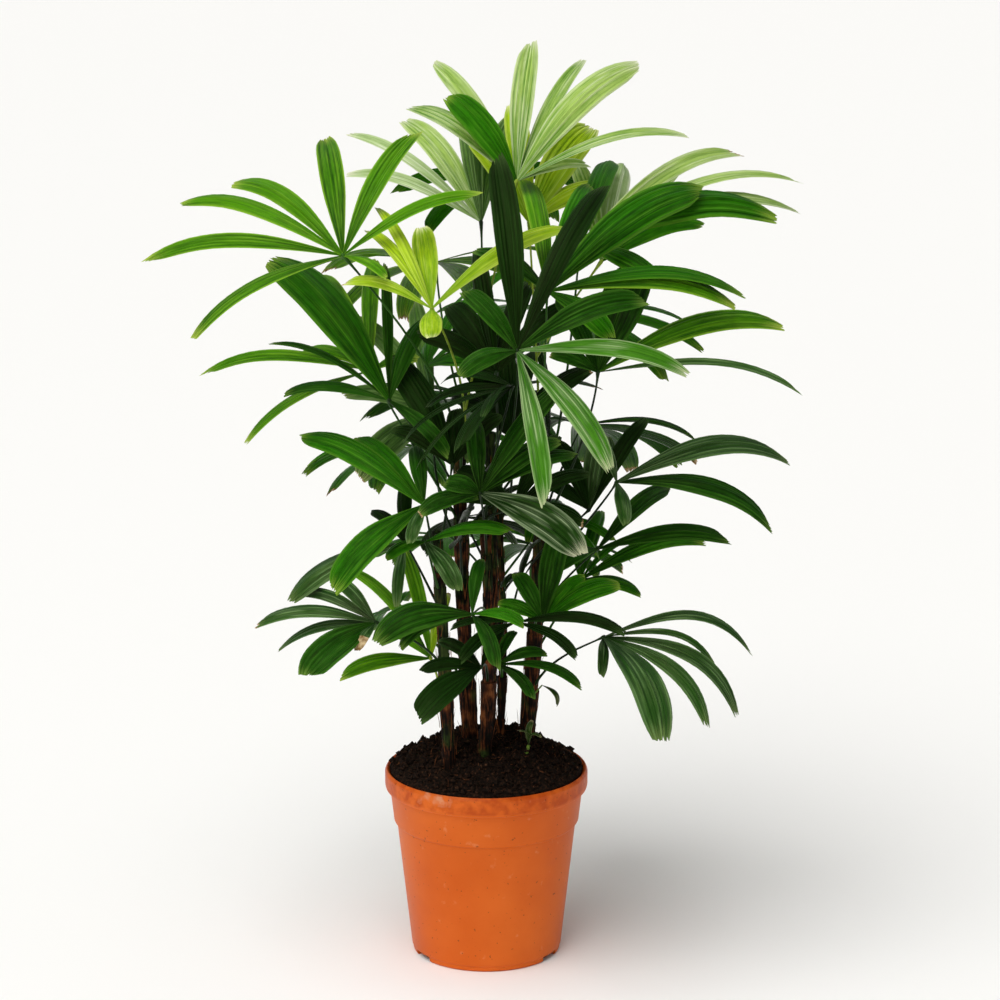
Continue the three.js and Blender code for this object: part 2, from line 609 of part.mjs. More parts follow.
// Height of the soil at a place, with its lumps.
function soilHeight(x, y) {
  const edge = potInside(soil.edge);
  const bulge = 1 - ((x * x + y * y) / (edge * edge)) ** 2;
  const [a, b, c, d] = soil.wave;
  const lumps = Math.sin(x * a + 1.3) * Math.cos(y * b - 0.6) + 0.6 * Math.sin(x * c + y * d);
  return soil.edge + (soil.crown - soil.edge) * bulge + soil.lump * lumps * Math.min(1, 2.5 * bulge);
}

function makeSoil() {
  const profile = [[0, pot.floor + fit]];
  const [low, high] = [pot.bandEnd - pot.soft, pot.bandEnd - pot.soft + pot.step];
  for (const height of [pot.floor + fit, low, high, soil.edge]) {
    profile.push([potInside(height) - soil.slack, height]);
  }
  const rim = potInside(soil.edge) - soil.slack;
  for (let k = soil.rings; k > 0; k -= 1) profile.push([(rim * k) / (soil.rings + 1), soil.crown]);
  profile.push([0, soil.crown]);
  const geometry = lathe(profile, soil.sides);
  const position = geometry.attributes.position;
  for (let i = 0; i < position.count; i += 1) {
    if (Math.abs(position.getZ(i) - soil.crown) < 0.01) {
      position.setZ(i, soilHeight(position.getX(i), position.getY(i)));
    }
  }
  let heap = toSolid(geometry);
  for (const row of caneRows) heap = heap.subtract(caneSolid(row, fit));
  return toGeometry(heap);
}

// ---------------------------------------------------------------- canes and fronds
function caneGeometry(row, extra) {
  const foot = soil.crown - cane.rooted - extra;
  const centres = [];
  const radii = [];
  for (let k = 0; k <= cane.steps; k += 1) {
    const z = foot + ((row.tip[2] + extra - foot) * k) / cane.steps;
    centres.push(caneAt(row, z));
    radii.push(caneRadius(row, z) + extra * cane.widen);
  }
  return tube(centres, radii, cane.sides);
}

function caneSolid(row, extra) {
  return toSolid(caneGeometry(row, extra));
}

function leafletGeometry(shape) {
  const stops = shape.length > leaflet.long ? leaflet.stops.long : leaflet.stops.short;
  const thick = Math.max(leaflet.least, shape.length / leaflet.thin);
  const rings = stops.map((t) => {
    const middle = spineAt(shape, t);
    const { across, face } = spineFrame(shape, t);
    const half = 0.5 * shape.width * along(leafletProfile, t);
    return [
      add(middle, times(across, half)), add(middle, times(across, -half)), add(middle, times(face, thick)),
    ];
  });
  return loft(rings);
}

function makeFrond(row, path, leaflets) {
  const knob = new THREE.OctahedronGeometry(petiole.knob).translate(...row.hub);
  let frond = toSolid(knob);
  const centres = [];
  for (let k = 0; k <= petiole.steps; k += 1) centres.push(bezier(path, k / petiole.steps));
  frond = frond.add(toSolid(tube(centres, centres.map(() => petiole.radius), petiole.sides)));
  for (const shape of leaflets) frond = frond.add(toSolid(leafletGeometry(shape)));
  return toGeometry(frond.subtract(caneSolid(caneRows[row.cane - 1], fit)));
}

// ---------------------------------------------------------------- the plant
function finish(colour, roughness) {
  return new THREE.MeshStandardMaterial({ color: colour, roughness, metalness: 0 });
}

function named(name, geometry, material) {
  const mesh = new THREE.Mesh(geometry, material);
  mesh.name = name;
  return mesh;
}

const group = new THREE.Group();
group.add(named('pot', makePot(), finish('#d4652a', 0.45)));
group.add(named('soil', makeSoil(), finish('#22160f', 0.95)));
const bark = finish('#5b3722', 0.85);
for (const row of caneRows) group.add(named(row.name, caneGeometry(row, 0), bark));

const paths = frondRows.map(growPetiole);
frondRows.forEach((row, index) => {
  const leaflets = growLeaflets(row, index);
  const blade = finish(tints[row.tint], 0.4);
  group.add(named(`frond_${row.name}`, makeFrond(row, paths[index], leaflets), blade));
});

export default group;
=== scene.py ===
# A lady palm in a nursery pot: pot, soil, canes, petioles and fans of ribbed leaflets.
# The frame is in metres, +Z up, with the front towards -Y. The sizes in the dictionaries are in
# millimetres, and meshes are turned to metres when they are made.
import math
import bpy
import numpy as np
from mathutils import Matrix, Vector, noise


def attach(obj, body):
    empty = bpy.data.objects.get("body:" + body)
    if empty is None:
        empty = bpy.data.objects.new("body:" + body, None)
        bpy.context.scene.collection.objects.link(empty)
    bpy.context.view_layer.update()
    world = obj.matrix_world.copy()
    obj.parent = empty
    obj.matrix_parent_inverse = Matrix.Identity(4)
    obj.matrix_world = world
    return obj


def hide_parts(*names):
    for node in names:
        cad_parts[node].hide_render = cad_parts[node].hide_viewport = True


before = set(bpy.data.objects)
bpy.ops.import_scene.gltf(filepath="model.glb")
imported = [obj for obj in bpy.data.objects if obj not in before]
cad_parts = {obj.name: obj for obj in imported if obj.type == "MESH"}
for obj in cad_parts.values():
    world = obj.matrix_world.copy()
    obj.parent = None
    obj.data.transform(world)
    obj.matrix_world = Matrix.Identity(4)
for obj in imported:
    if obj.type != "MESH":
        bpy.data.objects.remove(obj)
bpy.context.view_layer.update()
print("frame loaded:", len(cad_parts), "nodes")

mm = 0.001
# the soil's height in the middle and at the pot's wall, and how far a cane goes down into it
soil = {"crown": 249, "edge": 225}
cane = {"rooted": 34}
caneFoot = soil["crown"] - cane["rooted"]

# where each cane leaves the soil, where it ends, how far it bows, its radius at foot and tip
caneRows = [
    {"name": "cane_1", "foot": [-42, -52], "tip": [-57, -46, 528], "bow": [1, -4], "radius": [9.5, 6.5]},
    {"name": "cane_2", "foot": [-17, 32], "tip": [-32, 36, 626], "bow": [-3, 3], "radius": [12, 7]},
    {"name": "cane_3", "foot": [-4, -20], "tip": [-2, -24, 540], "bow": [6, -3], "radius": [10, 6]},
    {"name": "cane_4", "foot": [16, 34], "tip": [14, 14, 560], "bow": [4, 2], "radius": [6.5, 4.5]},
    {"name": "cane_5", "foot": [45, 42], "tip": [66, 20, 580], "bow": [3, 3], "radius": [11.5, 7]},
    {"name": "cane_6", "foot": [2, 80], "tip": [4, 100, 610], "bow": [4, 2], "radius": [9.5, 6]},
]

# at: height on the cane where the petiole leaves it; hub: where the leaflets join; face: azimuth and
# rise of the side that catches the light; fan: clock angle, length, width and swing of each leaflet,
# as drawn from the front; a frond with no fan has count leaflets spread about aim by rule
frondRows = [
    {"name": "a", "cane": 2, "at": 562, "hub": [-160, -70, 852], "face": [-108, 54], "tint": "bright",
        "fan": [[182, 232, 19], [162, 214, 21], [146, 166, 23], [101, 160, 29], [61, 168, 27],
            [23, 172, 15], [210, 190, 19], [-29, 55, 12]]},
    {"name": "b", "cane": 2, "at": 582, "hub": [-60, -110, 799], "face": [-95, 50], "tint": "lime",
        "fan": [[98, 98, 29], [118, 128, 14, 12], [129, 112, 15, 12], [164, 106, 13], [30, 182, 20],
            [270, 34, 26]]},
    {"name": "c", "cane": 3, "at": 506, "hub": [35, -200, 770], "face": [-85, 34], "tint": "dark",
        "fan": [[96, 226, 32], [62, 228, 26], [21, 162, 28], [-8, 194, 20], [-53, 174, 27],
            [-80, 183, 23], [132, 90, 24], [205, 70, 22]]},
    {"name": "d", "cane": 2, "at": 612, "hub": [35, 30, 920], "face": [-90, 40], "tint": "pale",
        "fan": [[124, 174, 24], [84, 163, 28], [62, 178, 19], [44, 204, 34], [144, 163, 23],
            [15, 210, 12], [13, 92, 12, -10], [129, 120, 34, 12]]},
    {"name": "t", "cane": 5, "at": 556, "hub": [69, -90, 815], "face": [-68, 52], "tint": "bright",
        "fan": [[100, 170, 27], [33, 210, 42], [-1, 230, 20, 5], [-4, 220, 24, -10], [68, 150, 26],
            [150, 100, 24], [-38, 90, 26]]},
    {"name": "u", "cane": 3, "at": 484, "hub": [-6, -150, 597], "face": [-85, 50], "tint": "dark",
        "fan": [[52, 130, 24], [33, 104, 23], [20, 126, 20], [-32, 132, 40], [165, 43, 22],
            [200, 72, 20], [95, 90, 22]]},
    {"name": "v2", "cane": 5, "at": 542, "hub": [108, 10, 850], "face": [-62, 55], "tint": "bright",
        "fan": [[17, 269, 14, 10], [10, 272, 20, -4], [9, 220, 40, 6], [31, 225, 22], [68, 150, 28],
            [-30, 110, 24]]},
    {"name": "e", "cane": 2, "at": 536, "hub": [-110, -50, 681], "face": [-104, 38], "tint": "dark",
        "fan": [[131, 214, 48], [124, 145, 24, -12], [92, 154, 13], [177, 128, 13], [155, 158, 8],
            [66, 106, 22], [-44, 100, 18]]},
    {"name": "s", "cane": 5, "at": 508, "hub": [127, -70, 718], "face": [-72, 44], "tint": "dark",
        "fan": [[68, 133, 52], [14, 225, 26], [-6, 233, 9], [118, 100, 24], [160, 60, 20]]},
    {"name": "f", "cane": 1, "at": 470, "hub": [-70, -90, 568], "face": [-108, 50], "tint": "bright",
        "fan": [[153, 166, 29], [224, 143, 34], [138, 118, 22, -8], [251, 51, 16], [8, 66, 20],
            [95, 80, 20]]},
    {"name": "r", "cane": 5, "at": 436, "hub": [150, -50, 585], "face": [-62, 54],
        "tint": "dark", "arch": 0.15,
        "fan": [[6, 202, 27], [-18, 193, 27], [120, 60, 18], [-80, 50, 18]]},
    {"name": "m", "cane": 5, "at": 300, "hub": [136, -70, 406], "face": [-62, 56],
        "tint": "dark", "arch": 0.22,
        "fan": [[-8, 174, 14], [-31, 176, 17], [-42, 152, 18, -10], [-62, 137, 44], [-17, 137, 8, -6],
            [-95, 44, 14]]},
    {"name": "q", "cane": 5, "at": 396, "hub": [130, -10, 495], "face": [-68, 54], "tint": "dark",
        "fan": [[2, 158, 20], [37, 124, 22], [205, 60, 23]]},
    {"name": "h", "cane": 1, "at": 360, "hub": [-125, -110, 435], "face": [-115, 54], "tint": "dark",
        "fan": [[183, 140, 15], [197, 127, 15, -8], [218, 103, 37], [237, 39, 14], [140, 80, 17],
            [163, 105, 14]]},
    {"name": "g", "cane": 1, "at": 430, "hub": [-94, -20, 505], "face": [-110, 54], "tint": "dark",
        "fan": [[208, 150, 24], [264, 80, 14], [90, 70, 18], [140, 60, 16]]},
    {"name": "g2", "cane": 1, "at": 452, "hub": [-69, -90, 525], "face": [-90, 50], "tint": "mid",
        "fan": [[5, 104, 16], [-56, 72, 23], [205, 50, 14]]},
    {"name": "i", "cane": 3, "at": 400, "hub": [-15, -180, 465], "face": [-95, 56],
        "tint": "mid", "arch": 0.16,
        "fan": [[197, 114, 33], [206, 86, 15, -12], [-14, 62, 16], [-66, 72, 18], [80, 60, 16]]},
    {"name": "j", "cane": 1, "at": 318, "hub": [-65, -10, 362], "face": [-105, 45], "tint": "lime",
        "fan": [[105, 128, 18], [135, 143, 14], [193, 112, 18], [148, 60, 14], [75, 80, 15]]},
    {"name": "k", "cane": 3, "at": 330, "hub": [-5, -170, 400], "face": [-90, 56], "tint": "dark",
        "fan": [[219, 98, 32], [150, 56, 15], [60, 50, 14], [185, 70, 15]]},
    {"name": "l", "cane": 4, "at": 320, "hub": [14, -110, 385], "face": [-85, 56],
        "tint": "mid", "arch": 0.15,
        "fan": [[-16, 104, 13], [10, 58, 13], [-45, 56, 14], [60, 46, 13]]},
    {"name": "o", "cane": 5, "at": 372, "hub": [65, -120, 440], "face": [-85, 42], "tint": "mid",
        "fan": [[78, 106, 29], [24, 98, 25], [44, 72, 19], [120, 64, 21], [160, 56, 16]]},
    {"name": "n", "cane": 4, "at": 370, "hub": [34, -130, 441], "face": [-90, 66], "tint": "dark",
        "fan": [[-6, 128, 14], [177, 118, 14], [215, 76, 16], [-30, 86, 14]]},
    {"name": "p", "cane": 5, "at": 350, "hub": [111, 60, 438], "face": [-58, 54], "tint": "mid",
        "fan": [[15, 149, 19], [-15, 78, 16], [36, 80, 9], [70, 90, 18], [100, 80, 18]]},
    {"name": "w", "cane": 1, "at": 505, "hub": [-38, -70, 610], "face": [-98, 40], "tint": "dark",
        "fan": [[117, 138, 35], [85, 110, 22], [150, 80, 20], [45, 80, 20]]},
    {"name": "x", "cane": 4, "at": 520, "hub": [28, 5, 625], "face": [-95, 38], "tint": "dark",
        "fan": [[122, 164, 40], [95, 150, 28], [70, 120, 24], [150, 110, 24], [40, 120, 24]]},
    {"name": "y", "cane": 4, "at": 538, "hub": [12, -45, 712], "face": [-95, 38], "tint": "dark",
        "fan": [[125, 104, 32], [99, 140, 22], [70, 120, 24], [40, 130, 26], [155, 100, 24]]},
    {"name": "e2", "cane": 2, "at": 512, "hub": [-135, 70, 690], "face": [-122, 54], "tint": "bright",
        "fan": [[182, 226, 16], [211, 172, 17], [168, 102, 15], [12, 60, 15], [120, 130, 22],
            [90, 140, 22]]},
    {"name": "v", "cane": 2, "at": 484, "hub": [-62, 90, 635], "face": [-105, 38], "tint": "olive",
        "fan": [[222, 118, 37], [170, 110, 20], [130, 140, 24], [100, 140, 24]]},
    {"name": "z", "cane": 5, "at": 570, "hub": [50, 90, 862], "face": [-88, 35], "tint": "lime",
        "fan": [[57, 150, 42], [98, 150, 30], [125, 130, 24], [25, 110, 24]]},
    {"name": "z2", "cane": 6, "at": 566, "hub": [135, 110, 812], "face": [-75, 40], "tint": "pale",
        "fan": [[77, 165, 40], [104, 130, 24], [50, 150, 24], [20, 140, 24]]},
    {"name": "mm", "cane": 6, "at": 600, "hub": [-6, 110, 859], "face": [-98, 40], "tint": "olive",
        "fan": [[126, 168, 30], [98, 150, 26], [146, 190, 14], [160, 170, 14], [75, 140, 24]]},
    {"name": "r2", "cane": 5, "at": 462, "hub": [121, 55, 525], "face": [-75, 34], "tint": "dark",
        "fan": [[77, 96, 38], [57, 132, 20], [115, 90, 22], [150, 70, 18]]},
    # inside the clump
    {"name": "in_1", "cane": 3, "at": 530, "hub": [30, -130, 715], "face": [-170, 58], "tint": "dark",
        "aim": 270, "spread": 150, "count": 6, "length": 145, "width": 28},
    {"name": "in_2", "cane": 2, "at": 440, "hub": [-30, 10, 500], "face": [160, 46], "tint": "dark",
        "aim": 90, "spread": 150, "count": 6, "length": 110, "width": 27},
    {"name": "in_3", "cane": 3, "at": 524, "hub": [32, -75, 560], "face": [-85, 40], "tint": "dark",
        "aim": 80, "spread": 190, "count": 6, "length": 110, "width": 28},
    {"name": "in_4", "cane": 4, "at": 390, "hub": [40, 10, 450], "face": [160, 46], "tint": "dark",
        "aim": 90, "spread": 150, "count": 5, "length": 105, "width": 26},
    # the side that faces away
    {"name": "back_1", "cane": 6, "at": 548, "hub": [-60, 175, 800], "face": [105, 60], "tint": "bright",
        "aim": 270, "spread": 160, "count": 7, "length": 210, "width": 32},
    {"name": "back_2", "cane": 6, "at": 528, "hub": [85, 190, 735], "face": [70, 58], "tint": "mid",
        "aim": 270, "spread": 160, "count": 7, "length": 205, "width": 34},
    {"name": "back_3", "cane": 6, "at": 500, "hub": [-10, 235, 620], "face": [95, 56], "tint": "dark",
        "aim": 270, "spread": 180, "count": 7, "length": 190, "width": 30},
    {"name": "back_4", "cane": 2, "at": 440, "hub": [-85, 175, 575], "face": [112, 58], "tint": "mid",
        "aim": 270, "spread": 150, "count": 7, "length": 175, "width": 28},
    {"name": "back_5", "cane": 5, "at": 488, "hub": [115, 175, 600], "face": [62, 58], "tint": "dark",
        "aim": 270, "spread": 150, "count": 7, "length": 175, "width": 30},
    {"name": "back_6", "cane": 6, "at": 410, "hub": [-45, 200, 455], "face": [110, 56], "tint": "mid",
        "aim": 270, "spread": 150, "count": 6, "length": 140, "width": 26},
    {"name": "back_7", "cane": 6, "at": 380, "hub": [70, 195, 440], "face": [70, 56], "tint": "dark",
        "aim": 270, "spread": 150, "count": 6, "length": 140, "width": 26},
    {"name": "back_8", "cane": 6, "at": 584, "hub": [20, 160, 905], "face": [95, 50], "tint": "mid",
        "aim": 270, "spread": 200, "count": 7, "length": 160, "width": 28},
    # the two sides
    {"name": "side_1", "cane": 2, "at": 310, "hub": [-105, 80, 400], "face": [160, 46], "tint": "mid",
        "aim": 270, "spread": 150, "count": 5, "length": 100, "width": 29},
    {"name": "side_2", "cane": 6, "at": 436, "hub": [-30, 120, 500], "face": [50, 58], "tint": "dark",
        "aim": 270, "spread": 150, "count": 5, "length": 115, "width": 27},
    {"name": "side_3", "cane": 6, "at": 515, "hub": [75, 120, 600], "face": [-10, 46], "tint": "dark",
        "aim": 90, "spread": 150, "count": 6, "length": 135, "width": 28},
    {"name": "side_4", "cane": 2, "at": 616, "hub": [-70, 45, 700], "face": [-170, 46], "tint": "mid",
        "aim": 90, "spread": 150, "count": 5, "length": 150, "width": 31},
    {"name": "side_5", "cane": 6, "at": 415, "hub": [75, 120, 500], "face": [-10, 58], "tint": "mid",
        "aim": 270, "spread": 150, "count": 5, "length": 105, "width": 27},
]
petiole = {
    "stand": 12,  # how far out of the cane it turns upwards
    "lift": 0.3,  # how steeply it leaves the cane, as a part of its length
    "last": 0.3,  # where its last bend lies before the hub, as a part of its length
    "sag": 0.05,  # how far that bend lies over the straight way, as a part of its length
    "follow": 0.6,  # how much of a sideways bow is left at the last bend
}
leaflet = {
    "arch": 0.11,  # rise of a level leaflet over its chord, as a part of its length
    "upright": 0.25,  # what is left of that rise when a leaflet stands upright
    "lean": 1.05,  # how far an upright leaflet's rise turns to the face of its frond
    "twist": 16,  # degrees, largest roll of a leaflet about its spine
    "swing": 8,  # degrees, how far a leaflet may stand out of its fan
    "shown": 0.7,  # least part of its width that a drawn leaflet is taken to show
}
# a frond grown by rule: how its leaflets differ
ruled = {
    "stray": 8,  # degrees between the clock angles' extremes about even steps
    "outerLength": 0.8,  # length of the outermost leaflets, as a part of the middle ones'
    "outerWidth": 0.5,  # how fast leaflets narrow over the fan: the outermost by half of this
    "lengthSpread": 0.12, "widthSpread": 0.3,  # between the extremes that chance gives
}
# half-width of a leaflet along its length, as a part of its largest half-width
leafletProfile = [[0, 0.08], [0.22, 0.54], [0.45, 0.95], [0.6, 1], [0.8, 0.9], [0.93, 0.65], [1, 0.32]]

# room kept between neighbours: round each point of a leaflet, a petiole and a cane, the widest steps
# between such points, and how near to its start a petiole may touch its own cane
room = {"cell": 9, "leaflet": 4.3, "petiole": 3.3, "grid": 6.4, "step": 5, "cane": 5.5, "free": 30}
# what is tried in turn where the way is blocked: a petiole's sideways bow, a leaflet's further swing
# and clock angle in degrees, and how much of its length is left
petioleSwings = [0, 12, -12, 24, -24, 36, -36, 50, -50]
leafletMoves = [
    [0, 0], [6, 0], [-6, 0], [12, 0], [-12, 0], [0, 4], [0, -4], [9, 5], [-9, 5], [9, -5], [-9, -5],
    [18, 0], [-18, 0], [0, 9], [0, -9], [24, 4], [-24, -4], [30, 0], [-30, 0], [15, 12], [-15, -12],
]
leafletCuts = [1, 0.82, 0.64]


def add(a, b):
    return (a[0] + b[0], a[1] + b[1], a[2] + b[2])


def minus(a, b):
    return (a[0] - b[0], a[1] - b[1], a[2] - b[2])


def times(a, k):
    return (a[0] * k, a[1] * k, a[2] * k)


def dot(a, b):
    return a[0] * b[0] + a[1] * b[1] + a[2] * b[2]


def size(a):
    return math.sqrt(dot(a, a))


def unit(a):
    return times(a, 1 / size(a))


def cross(a, b):
    return (a[1] * b[2] - a[2] * b[1], a[2] * b[0] - a[0] * b[2], a[0] * b[1] - a[1] * b[0])


def dice(seed):
    # seeded numbers from 0 to 1, always the same for one seed
    state = seed * 2654435761 % 4294967296

    def roll():
        nonlocal state
        state = (state * 1664525 + 1013904223) % 4294967296
        return state / 4294967296

    return roll


def between(span, share):
    return span[0] + (span[1] - span[0]) * share


def along(table, t):
    for (t0, a), (t1, b) in zip(table, table[1:]):
        if t <= t1:
            return a + (b - a) * (t - t0) / (t1 - t0)
    return table[-1][1]


# the front view that the fans are drawn in: from a little above the level
viewRise = math.radians(14)
drawnView = {
    "right": (1, 0, 0),
    "upward": (0, math.sin(viewRise), math.cos(viewRise)),
    "forth": (0, -math.cos(viewRise), math.sin(viewRise)),
}


def caneAt(row, z):
    s = (z - caneFoot) / (row["tip"][2] - caneFoot)
    swell = math.sin(math.pi * min(max(s, 0), 1))
    return (
        row["foot"][0] + (row["tip"][0] - row["foot"][0]) * s + row["bow"][0] * swell,
        row["foot"][1] + (row["tip"][1] - row["foot"][1]) * s + row["bow"][1] * swell,
        z,
    )


def caneRadius(row, z):
    return between(row["radius"], (z - caneFoot) / (row["tip"][2] - caneFoot))


def fanAxes(row):
    # a frond's own axes: out of its face, to the right in it, up in it, and level the way it faces
    azimuth = math.radians(row["face"][0])
    rise = math.radians(row["face"][1])
    out = (math.cos(rise) * math.cos(azimuth), math.cos(rise) * math.sin(azimuth), math.sin(rise))
    right = (-math.sin(azimuth), math.cos(azimuth), 0)
    forth = (math.cos(azimuth), math.sin(azimuth), 0)
    return {"out": out, "right": right, "upward": cross(out, right), "forth": forth}


def fanList(row, roll):
    # a frond's leaflets, each as clock angle, length, width and swing
    if "fan" in row:
        return [
            (entry[0], entry[1], entry[2],
             (entry[3] if len(entry) > 3 else 0) + leaflet["swing"] * (2 * roll() - 1))
            for entry in row["fan"]
        ]
    found = []
    for k in range(row["count"]):
        place = k / (row["count"] - 1) - 0.5
        clock = row["aim"] + row["spread"] * place + ruled["stray"] * (roll() - 0.5)
        middle = math.cos(math.pi * place)
        long = ruled["outerLength"] + (1 - ruled["outerLength"]) * middle
        wide = 1 - ruled["outerWidth"] * abs(place)
        length = row["length"] * long * (1 + ruled["lengthSpread"] * (roll() - 0.5))
        width = row["width"] * wide * (1 + ruled["widthSpread"] * (roll() - 0.5))
        found.append((clock, length, width, leaflet["swing"] * (2 * roll() - 1)))
    return found


def leafletShape(row, axes, entry, move, cut, twist):
    # one leaflet's place: its chord from hub to tip, how it arches over that chord, and its roll
    clock = math.radians(entry[0] + move[1])
    swing = math.radians(entry[3] + move[0])
    drawn = drawnView if "fan" in row else axes
    flat = add(times(drawn["right"], math.cos(clock)), times(drawn["upward"], math.sin(clock)))
    depth = dot(flat, axes["out"]) / dot(drawn["forth"], axes["out"])
    lying = minus(flat, times(drawn["forth"], depth))
    chord = unit(add(times(unit(lying), math.cos(swing)), times(drawn["forth"], math.sin(swing))))
    level = math.sqrt(chord[0] * chord[0] + chord[1] * chord[1])
    lean = add(times((0, 0, 1), level), times(axes["out"], leaflet["lean"] - level))
    over = unit(minus(lean, times(chord, dot(lean, chord))))
    arch = row.get("arch", leaflet["arch"]) * (leaflet["upright"] + (1 - leaflet["upright"]) * level)
    side = unit(cross(chord, axes["out"]))
    face = cross(side, chord)
    rolled = math.radians(twist)
    across = add(times(side, math.cos(rolled)), times(face, math.sin(rolled)))
    length = entry[1] * size(lying) * cut
    shown = size(minus(across, times(drawnView["forth"], dot(across, drawnView["forth"]))))
    width = entry[2] / max(leaflet["shown"], shown) if "fan" in row else entry[2]
    return {
        "hub": row["hub"], "chord": chord, "over": over, "arch": arch,
        "across": across, "length": length, "width": width,
    }


# the spine's rise over its chord is rising * t * (1 - t * t), which is 1 at its highest
rising = 2.6


def spineAt(shape, t):
    rise = shape["arch"] * rising * t * (1 - t * t)
    step = add(times(shape["chord"], t), times(shape["over"], rise))
    return add(shape["hub"], times(step, shape["length"]))


def acrossAt(shape, t):
    slope = shape["arch"] * rising * (1 - 3 * t * t)
    ahead = unit(add(shape["chord"], times(shape["over"], slope)))
    return unit(minus(shape["across"], times(ahead, dot(shape["across"], ahead))))


def leafletPoints(shape):
    points = []
    rows = math.ceil(shape["length"] / room["grid"])
    for k in range(2, rows + 1):
        t = k / rows
        half = 0.5 * shape["width"] * along(leafletProfile, t)
        middle = spineAt(shape, t)
        across = acrossAt(shape, t)
        columns = max(1, math.ceil(half / room["grid"]))
        for c in range(-columns, columns + 1):
            points.append(add(middle, times(across, half * c / columns)))
    return points


def petiolePath(row, swing):
    # a petiole leaves its cane steeply and bends out to the hub; swing bows it sideways
    start = caneAt(caneRows[row["cane"] - 1], row["at"])
    reach = minus(row["hub"], start)
    outward = unit((reach[0], reach[1], 0))
    aside = (-outward[1], outward[0], 0)
    span = size(reach)
    radius = caneRadius(caneRows[row["cane"] - 1], row["at"])
    first = add(add(start, times(outward, radius + petiole["stand"])), (0, 0, petiole["lift"] * span))
    bend = add(first, times(aside, swing))
    last = add(minus(row["hub"], times(reach, petiole["last"])), (0, 0, petiole["sag"] * span))
    end = add(last, times(aside, petiole["follow"] * swing))
    return [start, bend, end, tuple(row["hub"])]


def bezier(path, t):
    s = 1 - t
    a, b, c, d = path
    near = add(times(a, s * s * s), times(b, 3 * s * s * t))
    return add(near, add(times(c, 3 * s * t * t), times(d, t * t * t)))


def petiolePoints(path):
    steps = math.ceil(size(minus(path[3], path[0])) / room["step"])
    return [bezier(path, k / steps) for k in range(1, steps + 1)]


# each kept point is filed under its own cell and the 26 round it
cells = {}
near = (-1, 0, 1)


def cellOf(point):
    return tuple(math.floor(v / room["cell"]) for v in point)


def nearAnother(point, reach, owner):
    for other, otherReach, otherOwner in cells.get(cellOf(point), ()):
        if otherOwner != owner:
            gap = minus(point, other)
            least = reach + otherReach
            if dot(gap, gap) < least * least:
                return True
    return False


def nearCane(point, own, start):
    for index, row in enumerate(caneRows):
        if point[2] > row["tip"][2] + room["cane"]:
            continue
        if index == own - 1 and size(minus(point, start)) < room["free"]:
            continue
        axis = caneAt(row, point[2])
        least = caneRadius(row, point[2]) + room["cane"]
        gap = (point[0] - axis[0], point[1] - axis[1])
        if gap[0] * gap[0] + gap[1] * gap[1] < least * least:
            return True
    return False


def isBlocked(points, reach, row):
    start = caneAt(caneRows[row["cane"] - 1], row["at"])
    return any(nearCane(p, row["cane"], start) or nearAnother(p, reach, row["name"]) for p in points)


def keep(points, reach, owner):
    for point in points:
        x, y, z = cellOf(point)
        for i in near:
            for j in near:
                for k in near:
                    cells.setdefault((x + i, y + j, z + k), []).append((point, reach, owner))


def growPetiole(row):
    tries = [petiolePath(row, swing) for swing in petioleSwings]
    free = (way for way in tries if not isBlocked(petiolePoints(way), room["petiole"], row))
    path = next(free, tries[0])
    keep(petiolePoints(path), room["petiole"], row["name"])
    return path


def growLeaflets(row, index):
    axes = fanAxes(row)
    roll = dice(index + 11)
    grown = []
    for place, entry in enumerate(fanList(row, roll)):
        twist = leaflet["twist"] * (2 * roll() - 1)
        for move, cut in [(move, cut) for cut in leafletCuts for move in leafletMoves]:
            shape = leafletShape(row, axes, entry, move, cut, twist)
            points = leafletPoints(shape)
            if not isBlocked(points, room["leaflet"], row):
                keep(points, room["leaflet"], row["name"])
                grown.append({**shape, "place": place})
                break
    return grown


# all petioles grow first, then the fans between them
petiolePaths = [growPetiole(row) for row in frondRows]
frondLeaflets = [growLeaflets(row, index) for index, row in enumerate(frondRows)]
leafletCount = sum(len(leaflets) for leaflets in frondLeaflets)
print("grown:", len(petiolePaths), "petioles,", leafletCount, "leaflets")


def hexColour(text):
    # from sRGB hex to the linear numbers that nodes and lights take
    found = []
    for start in (1, 3, 5):
        v = int(text[start:start + 2], 16) / 255
        found.append(v / 12.92 if v <= 0.04045 else ((v + 0.055) / 1.055) ** 2.4)
    return (*found, 1.0)


def feed(tree, node, inputs):
    # a node stands for its first output; an output is linked, and anything else becomes the socket's
    # own value
    for key, value in inputs.items():
        if isinstance(value, bpy.types.Node):
            value = value.outputs[0]
        if isinstance(value, bpy.types.NodeSocket):
            tree.links.new(value, node.inputs[key])
        else:
            node.inputs[key].default_value = value


def addNode(tree, kind, inputs=None, stops=(), **settings):
    # stops are the places and colours of a ramp
    node = tree.nodes.new("ShaderNode" + kind)
    for name, value in settings.items():
        setattr(node, name, value)
    while stops and len(node.color_ramp.elements) < len(stops):
        node.color_ramp.elements.new(0.5)
    for number, (place, colour) in enumerate(stops):
        node.color_ramp.elements[number].position = place
        node.color_ramp.elements[number].color = hexColour(colour)
    feed(tree, node, inputs or {})
    return node


def newMaterial(name, values):
    material = bpy.data.materials.new(name)
    material.use_nodes = True
    tree = material.node_tree
    tree.nodes.clear()
    shader = addNode(tree, "BsdfPrincipled", values)
    addNode(tree, "OutputMaterial", {"Surface": shader})
    return material, tree, shader


def unitRows(a):
    return a / np.linalg.norm(a, axis=-1, keepdims=True)


